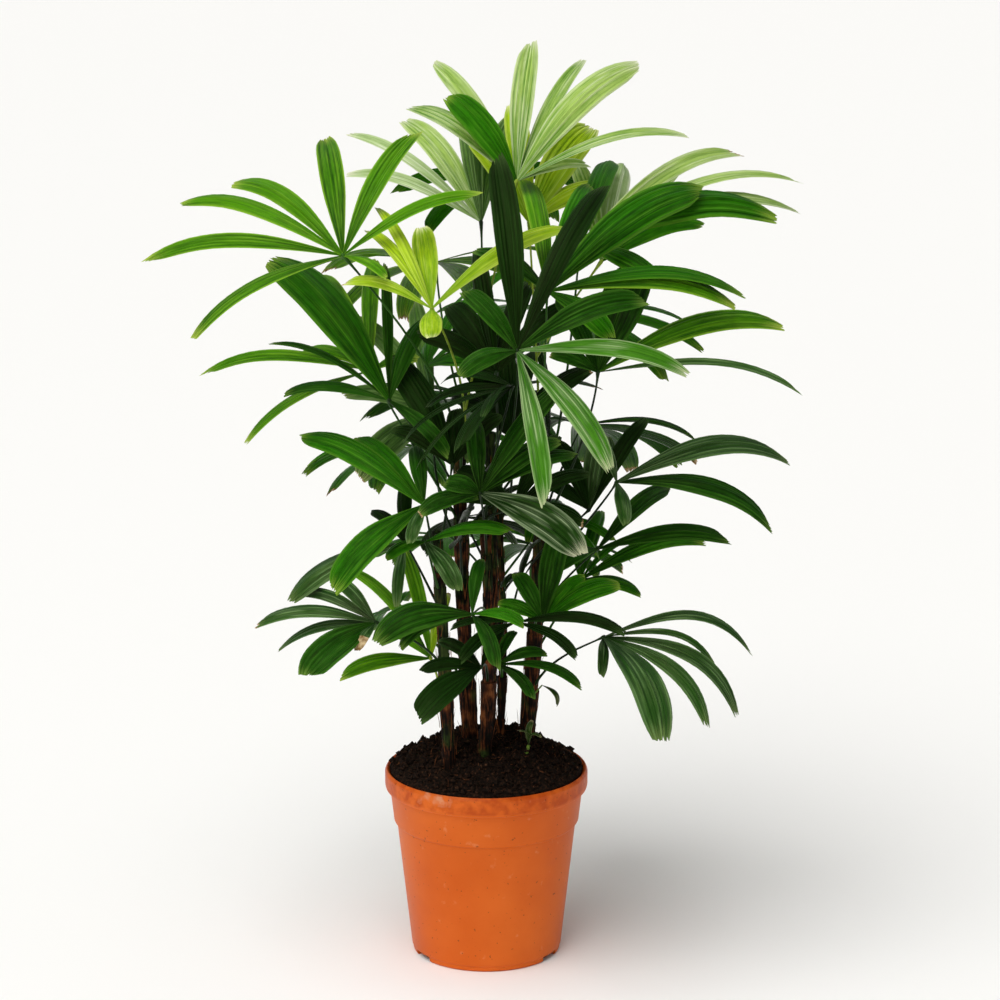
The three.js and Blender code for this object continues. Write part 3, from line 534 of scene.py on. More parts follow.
def meshPiece(name, verts, faces, material, uvs=None, bake=None, marks=None):
    # verts are in millimetres; uvs and bake hold a place for each face corner, marks a number for each
    # vertex under its name
    mesh = bpy.data.meshes.new(name)
    mesh.from_pydata((verts * mm).tolist(), [], faces.tolist())
    for layer, places in (("leafMap", uvs), ("OFBake", bake)):
        if places is not None:
            mesh.uv_layers.new(name=layer).uv.foreach_set("vector", places.ravel().astype(np.float32))
    for mark, values in (marks or {}).items():
        mesh.attributes.new(mark, "FLOAT", "POINT").data.foreach_set("value", values.astype(np.float32))
    mesh.materials.append(material)
    piece = bpy.data.objects.new(name, mesh)
    bpy.context.scene.collection.objects.link(piece)
    return piece


def onlySelect(piece):
    bpy.ops.object.select_all(action="DESELECT")
    piece.select_set(True)
    bpy.context.view_layer.objects.active = piece


def smoothUnder(piece, degrees):
    onlySelect(piece)
    bpy.ops.object.shade_smooth_by_angle(angle=math.radians(degrees))


def settle(piece, slot, *nodes):
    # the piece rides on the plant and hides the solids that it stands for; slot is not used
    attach(piece, "root")
    if nodes:
        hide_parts(*nodes)


# parts of a leaflet's length run from 0 at the hub to 1 at the tip
blade = {
    "rows": 16, "tipRows": 4,  # rows of faces along a leaflet, and along a dry tip
    "ribWidth": 4.6,  # millimetres across one pleat
    "mostRibs": 7,
    "halfRibs": [0.7, 1.3],  # how unequal the two halves of a pleat may be
    "pleat": 0.15,  # depth of a pleat, as a part of its width
    "depths": [0.5, 1.5],  # how unequal the depths may be
    "deepens": 0.12,  # by this part of the length the pleats are at their deepest
    "fold": [0.1, 0.6],  # how steeply the halves fall from the middle rib
    "trough": 0.25,  # share of leaflets that are folded the other way
    "troughFold": -0.4,  # their fold, as a part of the others'
    # the blade's wave along its length: height, radians from hub to tip, radians where it starts
    "wave": 1.1, "beat": [5, 10], "phase": 6.3,
    "wavesFrom": 0.3,  # by this part of the length the wave is at its highest
    "tilt": 0.6,  # how much of the wave rocks the blade instead of lifting it
    "sway": 0.012,  # how far the blade bends aside, as a part of its length
    "thick": 0.7,
    "tooth": 0.024,  # how deep the cuts in the tip go, as a part of the length
    "teeth": [0.15, 1.55],  # how unequal the cuts may be
    "ribEnd": 0.2,  # what is left of a cut where it meets a rib
    "slant": 0.05,  # how far one side of the tip may stand back from the other
    "cutsFrom": 0.82, "cutsBend": 1.5,  # where on the length the cuts begin, and how late they deepen
    "dryShare": 0.16,  # how many leaflets have a dry tip
    "dryLength": [0.0125, 0.0375],
}
# every side of every leaflet has a strip of its own on the bake map: how much longer than wide, and
# the part of it that stays empty at each edge
strip = {"ratio": 4.4, "margin": 0.06}

# half-width along the length: blunter at the tip than the solid, where the teeth are cut, and rounded
# over an eighth of the length
bladeOutline = [
    [0, 0.1], [0.12, 0.34], [0.25, 0.62], [0.4, 0.9], [0.55, 1], [0.78, 0.95], [0.92, 0.74], [1, 0.44]]
outlineSteps, outlineRound = 200, 25
outlineT = np.linspace(0, 1, outlineSteps + 1)
outlineRaw = np.interp(outlineT, *zip(*bladeOutline))
outlinePad = np.pad(outlineRaw, outlineRound // 2, mode="reflect", reflect_type="odd")
outlineSmooth = np.convolve(outlinePad, np.ones(outlineRound) / outlineRound, mode="valid")


def bladeLook(roll, shape):
    # what chance gives one leaflet: its pleats, its fold, its wave, its teeth and its dry tip
    ribs = int(min(max(round(shape["width"] / blade["ribWidth"]), 2), blade["mostRibs"]))
    cuts, steps, depths = [], [0], []
    slant = blade["slant"] * (2 * roll() - 1)
    for j in range(2 * ribs + 1):
        tooth = blade["tooth"] * between(blade["teeth"], roll() ** 2)
        cuts.append(tooth if j % 2 == 0 else blade["ribEnd"] * tooth)
        cuts[-1] += slant * (j / ribs - 1) + abs(slant)
        depths.append(between(blade["depths"], roll()) * (j % 2))
        if j:
            steps.append(between(blade["halfRibs"], roll()))
    folds = np.cumsum(steps)
    fold = between(blade["fold"], roll())
    return {
        "ribs": ribs, "cuts": np.array(cuts), "depths": np.array(depths), "deal": roll(),
        "folds": 2 * folds / folds[-1] - 1,
        "fold": blade["troughFold"] * fold if roll() < blade["trough"] else fold,
        "wave": blade["wave"] * (2 * roll() - 1),
        "beat": between(blade["beat"], roll()), "phase": blade["phase"] * roll(),
        "sway": blade["sway"] * shape["length"] * (2 * roll() - 1),
        "dry": roll() < blade["dryShare"], "dryPart": between(blade["dryLength"], roll()),
    }


def bladeGrid(shape, look, begin, end, rows):
    # top and bottom of one stretch of a leaflet; they meet along its whole edge
    cols = 2 * look["ribs"]
    t = begin + (end - begin) * np.linspace(0, 1, rows + 1)
    s = look["folds"]
    nearTip = np.clip((t - blade["cutsFrom"]) / (1 - blade["cutsFrom"]), 0, 1) ** blade["cutsBend"]
    tt = t[:, None] - nearTip[:, None] * look["cuts"][None, :]
    hub, chord, over, across = [np.array(shape[key], float) for key in ("hub", "chord", "over", "across")]
    rise = shape["arch"] * rising * tt * (1 - tt * tt)
    spine = hub + shape["length"] * (tt[..., None] * chord + rise[..., None] * over)
    slope = shape["arch"] * rising * (1 - 3 * t * t)
    ahead = unitRows(chord + slope[:, None] * over)
    across = unitRows(across - ahead * (ahead @ across)[:, None])
    face = np.cross(across, ahead)
    half = 0.5 * shape["width"] * np.interp(t, outlineT, outlineSmooth)
    depth = blade["pleat"] * 2 * half / look["ribs"] * np.clip(t / blade["deepens"], 0, 1)
    wave = look["wave"] * np.sin(look["beat"] * t + look["phase"])
    wave = wave * np.clip(t / blade["wavesFrom"], 0, 1)
    lift = depth[:, None] * look["depths"][None, :]
    lift = lift + look["fold"] * half[:, None] * (1 - np.abs(s)[None, :])
    lift = lift + wave[:, None] * (1 - blade["tilt"] + blade["tilt"] * s[None, :])
    sway = look["sway"] * np.sin(math.pi * t)
    side = s[None, :] * half[:, None] + sway[:, None]
    top = spine + side[..., None] * across[:, None, :] + lift[..., None] * face[:, None, :]
    inner = top[1:-1, 1:-1] - blade["thick"] * face[1:-1, None, :]

    # the number of each vertex on the top, and on the underside, which shares the edge's
    number = np.stack(2 * [np.arange(tt.size).reshape(tt.shape)])
    number[1, 1:-1, 1:-1] = tt.size + np.arange((rows - 1) * (cols - 1)).reshape(rows - 1, cols - 1)
    rim = np.broadcast_to(np.abs(s), tt.shape)
    verts = np.concatenate([top.reshape(-1, 3), inner.reshape(-1, 3)])

    ribPlace = np.broadcast_to((s + 1) / 2 * look["ribs"], tt.shape)
    pattern = np.stack([ribPlace, tt], -1)
    even = np.stack(np.broadcast_arrays((s[None, :] + 1) / 2, t[:, None]), -1)
    faces, uvs, places = [], [], []
    corners = [(0, 0), (0, 1), (1, 1), (1, 0)]
    for layer in (0, 1):
        pick = [(slice(i, rows + i), slice(j, cols + j)) for i, j in corners]
        faces.append(np.stack([number[layer][p] for p in pick], -1).reshape(-1, 4))
        uvs.append(np.stack([pattern[p] for p in pick], -2).reshape(-1, 4, 2))
        places.append(np.stack([even[p] for p in pick], -2).reshape(-1, 4, 2))
        corners.reverse()
    return {
        "verts": verts, "faces": np.concatenate(faces), "uvs": np.concatenate(uvs), "places": places,
        "deal": np.full(len(verts), look["deal"]),
        "edge": np.concatenate([rim.reshape(-1), rim[1:-1, 1:-1].reshape(-1)]),
    }


def joinFaces(parts):
    # the faces of meshes that are joined, with their vertices counted on
    found, start = [], 0
    for verts, faces in parts:
        found.append(faces + start)
        start += len(verts)
    return np.concatenate(found)


def joinBlades(name, parts, material):
    columns = max(1, math.ceil(math.sqrt(2 * len(parts) * strip["ratio"])))
    lines = math.ceil(2 * len(parts) / columns)
    bake = []
    for number, places in enumerate(places for part in parts for places in part["places"]):
        corner = np.array([number % columns, number // columns])
        spot = corner + strip["margin"] + (1 - 2 * strip["margin"]) * places
        bake.append(spot / np.array([columns, lines]))
    verts, uvs, deal, edge = [
        np.concatenate([part[key] for part in parts]) for key in ("verts", "uvs", "deal", "edge")]
    faces = joinFaces([(part["verts"], part["faces"]) for part in parts])
    marks = {"deal": deal, "edge": edge}
    return meshPiece(name, verts, faces, material, uvs, np.concatenate(bake), marks)


# plain base colours: the shade between ribs, the blade, a rib's line and the tip; then how far the
# ribs and the rim show, and the sheen
# the tints are partly the leaves' own tones and partly painted light and shade: dark and deep are partly
# darker copies for leaves in shade, and pale, silver, striped, lined and dull are partly paler or greyer
# copies for lit, backlit or glossy leaves, with painted highlight in their pale lines
leafColours = {
    "bright": ["#184603", "#4e8c08", "#9cc838", "#b2c650", 0.35, 0.6, 0.12],
    "mid": ["#103a02", "#2c7207", "#6aa32a", "#8aa83c", 0.35, 0.45, 0.08],
    "dark": ["#081f02", "#1a4a06", "#4f8228", "#6c8a38", 0.4, 0.4, 0.08],
    "dull": ["#0b2207", "#224b14", "#8cae70", "#6c8446", 0.5, 0.35, 0.3],
    "deep": ["#060f02", "#102a06", "#28501a", "#3a5226", 0.35, 0.3, 0.08],
    "striped": ["#20500c", "#44801a", "#d6e4b0", "#c8d0a0", 0.55, 0.35, 0.15],
    "lined": ["#0a2405", "#1a420b", "#bcd0a0", "#e6e3c0", 0.62, 0.4, 0.15],
    "lime": ["#6c9610", "#aaca1c", "#dfe97a", "#ecedb0", 0.4, 0.4, 0.15],
    "pale": ["#447a18", "#a2c05e", "#e6edc4", "#d9dfb8", 0.65, 0.5, 0.2],
    "silver": ["#6f9440", "#b4cc8c", "#f0f3da", "#e8e8cc", 0.7, 0.6, 0.25],
    "olive": ["#24421a", "#557c34", "#9fbd78", "#97a860", 0.5, 0.5, 0.2],
}
# tints that have no finish slot of their own take a neighbour's
slotTint = {"deep": "dark", "dull": "dark", "lined": "dark", "striped": "mid", "silver": "pale"}
# the darkest fronds stand inside the clump and behind it; their deep tint is painted shade
shadedInnerFronds = {"x", "y", "w", "r2", "g", "k", "n", "in_1", "in_2", "in_3", "in_4", "side_2", "side_3"}
# whole fronds, and single leaflets by their place in the fan, that look different from their tint; partly
# painted light and shade, darker looks for leaflets in shade and paler ones for lit leaflets
frondLook = {"r": "dull", "m": "dull", "h": "dull", "f": "mid", "l": "dark"}
leafletLook = {
    "c": {0: "deep", 1: "deep", 3: "striped", 4: "striped", 5: "striped"},
    "d": {7: "mid"}, "e": {0: "mid"}, "f": {3: "dull", 4: "dark", 5: "dark"}, "g": {0: "dull", 1: "dull"},
    "g2": {1: "dull"}, "h": {2: "dark"}, "i": {0: "dark", 1: "dark", 3: "dark", 4: "dark"},
    "j": {0: "bright", 1: "bright", 2: "bright", 3: "bright"}, "mm": {0: "pale", 2: "silver", 3: "silver"},
    "o": {0: "dark", 3: "dark"}, "r": {1: "dark"}, "r2": {0: "dull"}, "s": {1: "bright", 2: "dull"},
    "t": {1: "mid", 2: "mid", 4: "mid", 5: "dark", 6: "mid"}, "u": {3: "lined"},
    "v2": {0: "pale", 1: "pale", 2: "mid", 3: "pale", 4: "mid", 5: "mid"}, "z2": {0: "silver", 3: "mid"},
}
# how much of a leaflet its dead tip takes up, where chance doesn't settle it
deadTips = {"h": {3: 0.4}, "e": {0: 0}, "a": {3: 0}, "z2": {3: 0}, "c": {4: 0}}


def leafBlade(name, colours, ribShow, rimShow, sheen):
    # living palm leaf: a waxy skin that gives a narrow sheen along the pleats, paler at the ribs and rim;
    # the pale rib lines are partly painted highlight and the pale rim partly painted light through the
    # thin edge
    shade, body, line, tip = [hexColour(c) for c in colours]
    material, tree, shader = newMaterial(name, {
        "Roughness": 0.32, "Specular IOR Level": sheen, "Specular Tint": hexColour("#e2f0a0")})
    # the leaf's own map counts ribs across, and runs from 0 at the hub to 1 at the tip
    place = addNode(tree, "SeparateXYZ", {0: addNode(tree, "UVMap", uv_map="leafMap")})
    across, down = place.outputs["X"], place.outputs["Y"]
    deal = addNode(tree, "Attribute", attribute_name="deal").outputs["Fac"]
    edge = addNode(tree, "Attribute", attribute_name="edge").outputs["Fac"]
    # each leaflet takes its patterns from another level of the noise
    level = addNode(tree, "Math", {0: deal, 1: 37.0}, operation="MULTIPLY")
    spread = addNode(tree, "CombineXYZ", {"X": across, "Y": down, "Z": level})

    def patches(scale, detail, least, most):
        # one rib is about 4.6 mm wide, so a scale of 9 across gives streaks of half a millimetre
        spot = addNode(tree, "Mapping", {"Vector": spread, "Scale": scale})
        cloud = addNode(tree, "TexNoise", {"Vector": spot, "Scale": 1.0, "Detail": detail})
        return addNode(tree, "MapRange", {"Value": cloud, "From Min": least, "From Max": most})

    vein = patches((9.0, 1.3, 1.0), 2.0, 0.38, 0.62)
    band = patches((1.7, 1.6, 1.0), 1.0, 0.38, 0.62)
    mottle = patches((1.3, 12.0, 1.0), 3.0, 0.35, 0.65)
    # where a rib's pale line, partly painted highlight, shows at all: it comes and goes along the blade
    glint = patches((0.8, 3.2, 1.0), 1.0, 0.44, 0.6)
    # 0 in a fold between two ribs, 0.5 on a rib
    rib = addNode(tree, "Math", {0: across, 1: 0.5}, operation="PINGPONG")
    # painted shade: darker down the folds between the ribs, where the shallow pleats would be shaded
    foldShade = addNode(tree, "MapRange", {
        "Value": rib, "From Max": 0.16, "To Min": -0.3, "To Max": 0.0,
    }, interpolation_type="SMOOTHSTEP")
    # darker towards the hub, and each leaflet a little lighter or darker than the next
    grown = addNode(tree, "MapRange", {"Value": down, "From Max": 0.5, "To Min": -0.5, "To Max": 0.0})
    mixed = addNode(tree, "Math", {0: grown, 1: foldShade}, operation="ADD")
    for part, share in ((deal, 0.45), (vein, 0.32), (band, 0.4), (mottle, 0.3)):
        mixed = addNode(tree, "Math", {0: part, 1: share, 2: mixed}, operation="MULTIPLY_ADD")
    # a pale line on each rib: partly the rib's own colour, partly painted highlight along the pleat
    ribLineAndSheen = addNode(tree, "MapRange", {
        "Value": rib, "From Min": 0.34, "From Max": 0.5, "To Max": ribShow,
    }, interpolation_type="SMOOTHSTEP")
    hairs = addNode(tree, "Math", {0: vein, 1: 0.4 * ribShow}, operation="MULTIPLY")
    pale = addNode(tree, "Math", {0: ribLineAndSheen, 1: hairs}, operation="MAXIMUM")
    broken = addNode(tree, "Math", {0: pale, 1: glint}, operation="MULTIPLY")
    # a pale rim: partly the leaf's own colour, partly painted light shining through the thin edge
    rimLineAndGlow = addNode(tree, "MapRange", {
        "Value": edge, "From Min": 0.78, "From Max": 1.0, "To Max": rimShow,
    }, interpolation_type="SMOOTHSTEP")
    lighter = addNode(tree, "Math", {0: broken, 1: rimLineAndGlow}, operation="MAXIMUM")
    ageing = addNode(tree, "Math", {0: vein, 1: 0.1, 2: down}, operation="MULTIPLY_ADD")
    tipPart = addNode(tree, "MapRange", {
        "Value": ageing, "From Min": 0.93, "From Max": 1.08,
    }, interpolation_type="SMOOTHSTEP")
    colour = shade
    for share, over in ((mixed, body), (lighter, line), (tipPart, tip)):
        colour = addNode(tree, "Mix", {0: share, 6: colour, 7: over}, data_type="RGBA").outputs[2]
    bump = addNode(tree, "Bump", {"Strength": 0.5, "Distance": 0.0005, "Height": vein})
    feed(tree, shader, {"Base Color": colour, "Normal": bump})
    return material


def plainFinish(name, dark, light, scale, roughness):
    # a grown surface: two tones in soft patches, scale is the size of a patch in metres
    material, tree, shader = newMaterial(name, {"Roughness": roughness, "Specular IOR Level": 0.15})
    place = addNode(tree, "TexCoord").outputs["Object"]
    patches = addNode(tree, "TexNoise", {"Vector": place, "Scale": 1 / scale, "Detail": 4.0})
    ramp = addNode(tree, "ValToRGB", {"Fac": patches}, stops=[(0.35, dark), (0.65, light)])
    feed(tree, shader, {"Base Color": ramp})
    return material


# fronds inside the clump take the deep tint, which is painted shade
def tintOf(row):
    return "deep" if row["name"] in shadedInnerFronds else row["tint"]


bodies = {tint: [] for tint in leafColours}
dryTips = []
lookRoll = dice(501)
for row, leaflets in zip(frondRows, frondLeaflets):
    name = row["name"]
    for shape in leaflets:
        look = bladeLook(lookRoll, shape)
        dryPart = deadTips.get(name, {}).get(shape["place"], look["dryPart"] if look["dry"] else 0)
        tint = leafletLook.get(name, {}).get(shape["place"], frondLook.get(name, tintOf(row)))
        bodies[tint].append(bladeGrid(shape, look, 0, 1 - dryPart, blade["rows"]))
        if dryPart > 0:
            dryTips.append(bladeGrid(shape, look, 1 - dryPart, 1, blade["tipRows"]))

for tint, colours in leafColours.items():
    material = leafBlade("palmLeaf_" + tint, colours[:4], *colours[4:])
    piece = joinBlades("leaves_" + tint, bodies[tint], material)
    smoothUnder(piece, 26)
    nodes = ["frond_" + row["name"] for row in frondRows if tintOf(row) == tint]
    settle(piece, "leaf_" + slotTint.get(tint, tint), *nodes)
    print(piece.name, len(piece.data.polygons), "faces for", len(nodes), "fronds")
dryPiece = joinBlades("leafTipsDry", dryTips, plainFinish("dryLeafTip", "#7a5c30", "#ccb488", 0.006, 0.7))
smoothUnder(dryPiece, 50)
settle(dryPiece, "leaf_pale")

stalk = {
    "sides": 6, "steps": 18, "radius": [1.7, 1.1],  # radius at the cane and at the hub
    "knob": 2.6, "knobEnds": [0.6, 0.55],  # radius of the knob at the hub, and of its ends beside it
}
# tints whose petioles share a colour, its dark and light tone, and the finish slot; the darker petioles go
# with the fronds whose tints are partly painted shade
petioleColours = {
    "stalkGreen": (["bright", "mid"], "#14300a", "#2f5a14", "leaf_mid"),
    "stalkDark": (["dark", "deep", "olive"], "#0a1a06", "#1a330c", "leaf_dark"),
    "stalkLime": (["lime", "pale"], "#5f7a18", "#93a838", "leaf_lime"),
}


def ringFaces(count, sides):
    # round a stack of rings, closed at both ends by a vertex that comes after them
    faces = []
    for k in range(count - 1):
        for i in range(sides):
            a, b = k * sides + i, k * sides + (i + 1) % sides
            faces.append([a, a + sides, b + sides, b])
    first, tail = count * sides, (count - 1) * sides
    for i in range(0, sides, 2):
        j, k = i + 1, (i + 2) % sides
        faces.append([first, i, j, k])
        faces.append([first + 1, tail + k, tail + j, tail + i])
    return np.array(faces)


def tubeArrays(points, radii, sides):
    # a closed tube along points; where it runs along Y its sides are squared to X instead
    points = np.array(points, float)
    ahead = unitRows(np.gradient(points, axis=0))
    side = np.cross(ahead, [0.0, 1.0, 0.0])
    weak = np.linalg.norm(side, axis=1) < 0.2
    side[weak] = np.cross(ahead[weak], [1.0, 0.0, 0.0])
    side = unitRows(side)
    other = np.cross(side, ahead)
    angle = 2 * math.pi * np.arange(sides) / sides
    ring = np.cos(angle)[None, :, None] * side[:, None] + np.sin(angle)[None, :, None] * other[:, None]
    rings = points[:, None] + ring * np.array(radii)[:, None, None]
    verts = np.concatenate([rings.reshape(-1, 3), points[:1], points[-1:]])
    return verts, ringFaces(len(points), sides)


def joinTubes(name, tubes, material):
    verts = np.concatenate([tubeVerts for tubeVerts, _ in tubes])
    return meshPiece(name, verts, joinFaces(tubes), material)


for name, (tints, dark, light, slotName) in petioleColours.items():
    tubes = []
    for row, path in zip(frondRows, petiolePaths):
        if tintOf(row) not in tints:
            continue
        ts = np.linspace(0, 1, stalk["steps"] + 1)
        points = [bezier(path, t) for t in ts]
        ahead = unit(minus(points[-1], points[-2]))
        points.append(add(points[-1], times(ahead, stalk["knob"])))
        radii = list(between(stalk["radius"], ts))
        before, after = stalk["knobEnds"]
        radii[-2:] = [before * stalk["knob"], stalk["knob"], after * stalk["knob"]]
        tubes.append(tubeArrays(points, radii, stalk["sides"]))
    piece = joinTubes(name, tubes, plainFinish("petioleSkin_" + name, dark, light, 0.03, 0.45))
    smoothUnder(piece, 70)
    settle(piece, slotName)
print("petioles made")

bark = {
    "sides": 30, "ring": 2.6,  # faces round a cane, and millimetres from ring to ring
    "sheath": 27, "step": 1.4,  # length of a sheath, and how far its edge stands off
    "slant": 5, "ragged": 6,  # how far that edge slants, and wanders, along the cane
    "turned": 2.4,  # radians from one sheath's slant to the next one's
    "back": 0.06,  # the last part of a sheath, where its edge drops back to the cane
    "swells": 1.5,  # how late a sheath widens towards its edge
    "wander": 1.8, "wanderLong": 40,  # its scale round the cane, and its millimetres along it
    # the grain's height, its scale round the cane, its millimetres along it, and how much finer the
    # second grain is
    "rough": 0.6, "grain": 6, "grainLong": 9, "fineGrain": 2.7,
    "tuck": 1.9,  # how far the bark's foot lies inside the solid
    "closing": 5,  # millimetres in which the top closes
}


def sheathRelief(z, angle, seed):
    # overlapping old leaf sheaths: each widens to a ragged slanting edge; the seed's factors only keep
    # one cane from repeating another
    x, y = math.cos(angle), math.sin(angle)
    turned = bark["turned"] * math.floor(z / bark["sheath"])
    slant = bark["slant"] * math.cos(angle + seed * 2.1 + turned)
    wander = (x * bark["wander"] + seed * 9, y * bark["wander"], z / bark["wanderLong"])
    ragged = bark["ragged"] * noise.noise(wander)
    part = ((z + slant + ragged + seed * 7.3) / bark["sheath"]) % 1
    rise = part ** bark["swells"] if part < 1 - bark["back"] else (1 - part) / bark["back"]
    spot = Vector((x * bark["grain"], y * bark["grain"], z / bark["grainLong"] + seed * 31))
    grain = noise.noise(spot) + 0.5 * noise.noise(spot * bark["fineGrain"])
    return bark["step"] * rise - bark["tuck"] + bark["rough"] * grain


def barkFinish(name):
    # old palm bark: dry matted fibre over a woody cane, which looks brown and dull, greener higher up
    material, tree, shader = newMaterial(name, {"Roughness": 0.85, "Specular IOR Level": 0.12})
    place = addNode(tree, "TexCoord").outputs["Object"]
    # strands about 2.4 mm apart round the cane and ten times as long
    length = addNode(tree, "Mapping", {"Vector": place, "Scale": (420.0, 420.0, 42.0)})
    fibre = addNode(tree, "TexNoise", {"Vector": length, "Scale": 1.0, "Detail": 3.0})
    blotch = addNode(tree, "TexNoise", {"Vector": place, "Scale": 60.0, "Detail": 3.0})
    brown = addNode(tree, "Math", {0: blotch, 1: 0.8, 2: -0.4}, operation="MULTIPLY_ADD")
    tone = addNode(tree, "Math", {0: brown, 1: fibre}, operation="ADD")
    brownBark = addNode(tree, "ValToRGB", {"Fac": tone}, stops=[
        (0.34, "#080402"), (0.47, "#1e0e07"), (0.59, "#46230f"), (0.75, "#744322")])
    greenBark = addNode(tree, "ValToRGB", {"Fac": tone}, stops=[(0.34, "#070c03"), (0.7, "#33421a")])
    height = addNode(tree, "SeparateXYZ", {0: place}).outputs["Z"]
    # from the soil to where the canes end
    higher = addNode(tree, "MapRange", {
        "Value": height, "From Min": 0.25, "From Max": 0.6, "To Min": -0.06, "To Max": 0.12})
    patch = addNode(tree, "TexNoise", {"Vector": place, "Scale": 26.0, "Detail": 3.0})
    greener = addNode(tree, "Math", {0: patch, 1: higher}, operation="ADD")
    share = addNode(tree, "MapRange", {"Value": greener, "From Min": 0.5, "From Max": 0.6})
    mixed = addNode(tree, "Mix", {0: share, 6: brownBark, 7: greenBark}, data_type="RGBA").outputs[2]
    bump = addNode(tree, "Bump", {"Strength": 0.7, "Distance": 0.0008, "Height": fibre})
    feed(tree, shader, {"Base Color": mixed, "Normal": bump})
    return material


def dressCane(row, seed, material):
    # a sheet of bark wrapped round the cane's axis and closed at both ends
    top = row["tip"][2]
    tall = top - caneFoot
    rings = round(tall / bark["ring"])
    bpy.ops.mesh.primitive_grid_add(x_subdivisions=bark["sides"], y_subdivisions=rings, size=2)
    piece = bpy.context.active_object
    piece.name = row["name"] + "_bark"
    mesh = piece.data
    for vertex in mesh.vertices:
        x, y, _ = vertex.co
        angle = math.pi * x
        z = caneFoot + tall * (y + 1) / 2
        axis = caneAt(row, z)
        # the angle is rounded so that both edges of the sheet get the same relief
        radius = caneRadius(row, z) + sheathRelief(z, round(angle % (2 * math.pi), 6), seed)
        closing = min(1, (top - z) / bark["closing"])
        radius *= math.sqrt(max(0, 1 - (1 - closing) ** 2))
        x, y = axis[0] + radius * math.cos(angle), axis[1] + radius * math.sin(angle)
        vertex.co = Vector((x, y, z)) * mm
    onlySelect(piece)
    mesh.uv_layers[0].name = "OFBake"
    bpy.ops.object.mode_set(mode="EDIT")
    bpy.ops.mesh.select_all(action="SELECT")
    bpy.ops.mesh.remove_doubles(threshold=0.01 * mm)
    bpy.ops.mesh.select_all(action="DESELECT")
    bpy.ops.mesh.select_non_manifold(extend=False)
    bpy.ops.mesh.fill()
    bpy.ops.mesh.select_all(action="SELECT")
    bpy.ops.mesh.normals_make_consistent(inside=False)
    bpy.ops.object.mode_set(mode="OBJECT")
    mesh.materials.append(material)
    smoothUnder(piece, 60)
    settle(piece, "cane_bark", row["name"])


barkMaterial = barkFinish("fibrousPalmBark")
for number, row in enumerate(caneRows):
    dressCane(row, number, barkMaterial)

# each petiole comes out of a sleeve, the base of its frond, that clasps the cane
sleeve = {
    "below": 44, "above": 8, "over": 4,  # how far it reaches from the petiole's foot, and past the cane
    "stand": [-1.9, 0.4],  # how far it stands off the cane at its foot and at its edge
    "rings": 6, "sides": 14,
}
sleeves = []
for row in frondRows:
    caneRow = caneRows[row["cane"] - 1]
    low = row["at"] - sleeve["below"]
    high = min(row["at"] + sleeve["above"], caneRow["tip"][2] + sleeve["over"])
    points, radii = [], []
    for k in range(sleeve["rings"] + 1):
        z = between([low, high], k / sleeve["rings"])
        points.append(caneAt(caneRow, z))
        radii.append(caneRadius(caneRow, z) + between(sleeve["stand"], k / sleeve["rings"]))
    sleeves.append(tubeArrays(points, radii, sleeve["sides"]))
sleevePiece = joinTubes("frondSleeves", sleeves, barkMaterial)
smoothUnder(sleevePiece, 50)
settle(sleevePiece, "cane_bark")

# loose fibres that hang about the canes
fibre = {
    "count": 46, "clear": 20,  # how many on a cane, and how far they stay below its end
    "length": [10, 30], "radius": 0.32, "thinning": [1, 1, 0.8, 0.3],
    "lean": [0.04, 0.34],  # how far the free end stands off, as a part of the length
    "stand": 0.2, "bend": 0.6,  # how far the fixed end stands off, and how much of the lean is left
    "turn": 0.8,  # radians, how far a fibre winds round the cane
}
fullTurn = 6.283  # radians, for what chance turns
fibres = []
roll = dice(77)
for row in caneRows:
    for _ in range(fibre["count"]):
        z = between([soil["crown"], row["tip"][2] - fibre["clear"]], roll())
        angle = fullTurn * roll()
        long = between(fibre["length"], roll())
        lean = between(fibre["lean"], roll() ** 2)
        turn = fibre["turn"] * (roll() - 0.5)
        points = []
        for k in range(4):
            s = k / 3
            axis = caneAt(row, z + long * s)
            out = caneRadius(row, z) + fibre["stand"] + lean * long * s * s * fibre["bend"]
            way = angle + turn * s
            points.append((axis[0] + out * math.cos(way), axis[1] + out * math.sin(way), z + long * s))
        fibres.append(tubeArrays(points, fibre["radius"] * np.array(fibre["thinning"]), 4))
fibrePiece = joinTubes("caneFibres", fibres, plainFinish("dryBarkFibre", "#2c150a", "#8a4f28", 0.02, 0.8))
settle(fibrePiece, "cane_bark")
print("canes dressed")

pot = {
    "height": 226, "rimRadius": 120, "lipDrop": 23,
    "bandTop": 114, "bandBottom": 109.5, "bandEnd": 163,  # the collar's radii, and where it ends
    "bodyTop": 106, "bodyBottom": 89, "footHeight": 7, "footInset": 1.5,
    "wall": 3, "floor": 4, "step": 5, "sides": 160,
    "lipDraft": 1, "mouth": 1,  # how far the lip draws in downwards, and the mouth out past the collar
    "ledge": 1, "bandDrop": 3,  # half the slope's height over the foot, and the slope's under the collar
    "soft": 2, "lipRound": 4,  # how far the profile's corners are cut
    "edge": 1.2, "edgeSteps": 3, "edgeAngle": 12,  # the bevel that rounds those corners
    "notches": [90, 210, 330], "notchWidth": 30, "notchHeight": 7, "notchDepth": 9,
}
# the wall's inside steps outwards between these heights, behind the collar
stepLow = pot["bandEnd"] - pot["soft"]
stepHigh = stepLow + pot["step"]


def potInside(height):
    return along([
        [pot["floor"], pot["bodyBottom"] - pot["wall"]], [stepLow, pot["bodyTop"] - pot["wall"]],
        [stepHigh, pot["bandBottom"] - pot["wall"]], [pot["height"], pot["bandTop"] + pot["mouth"]],
    ], height)


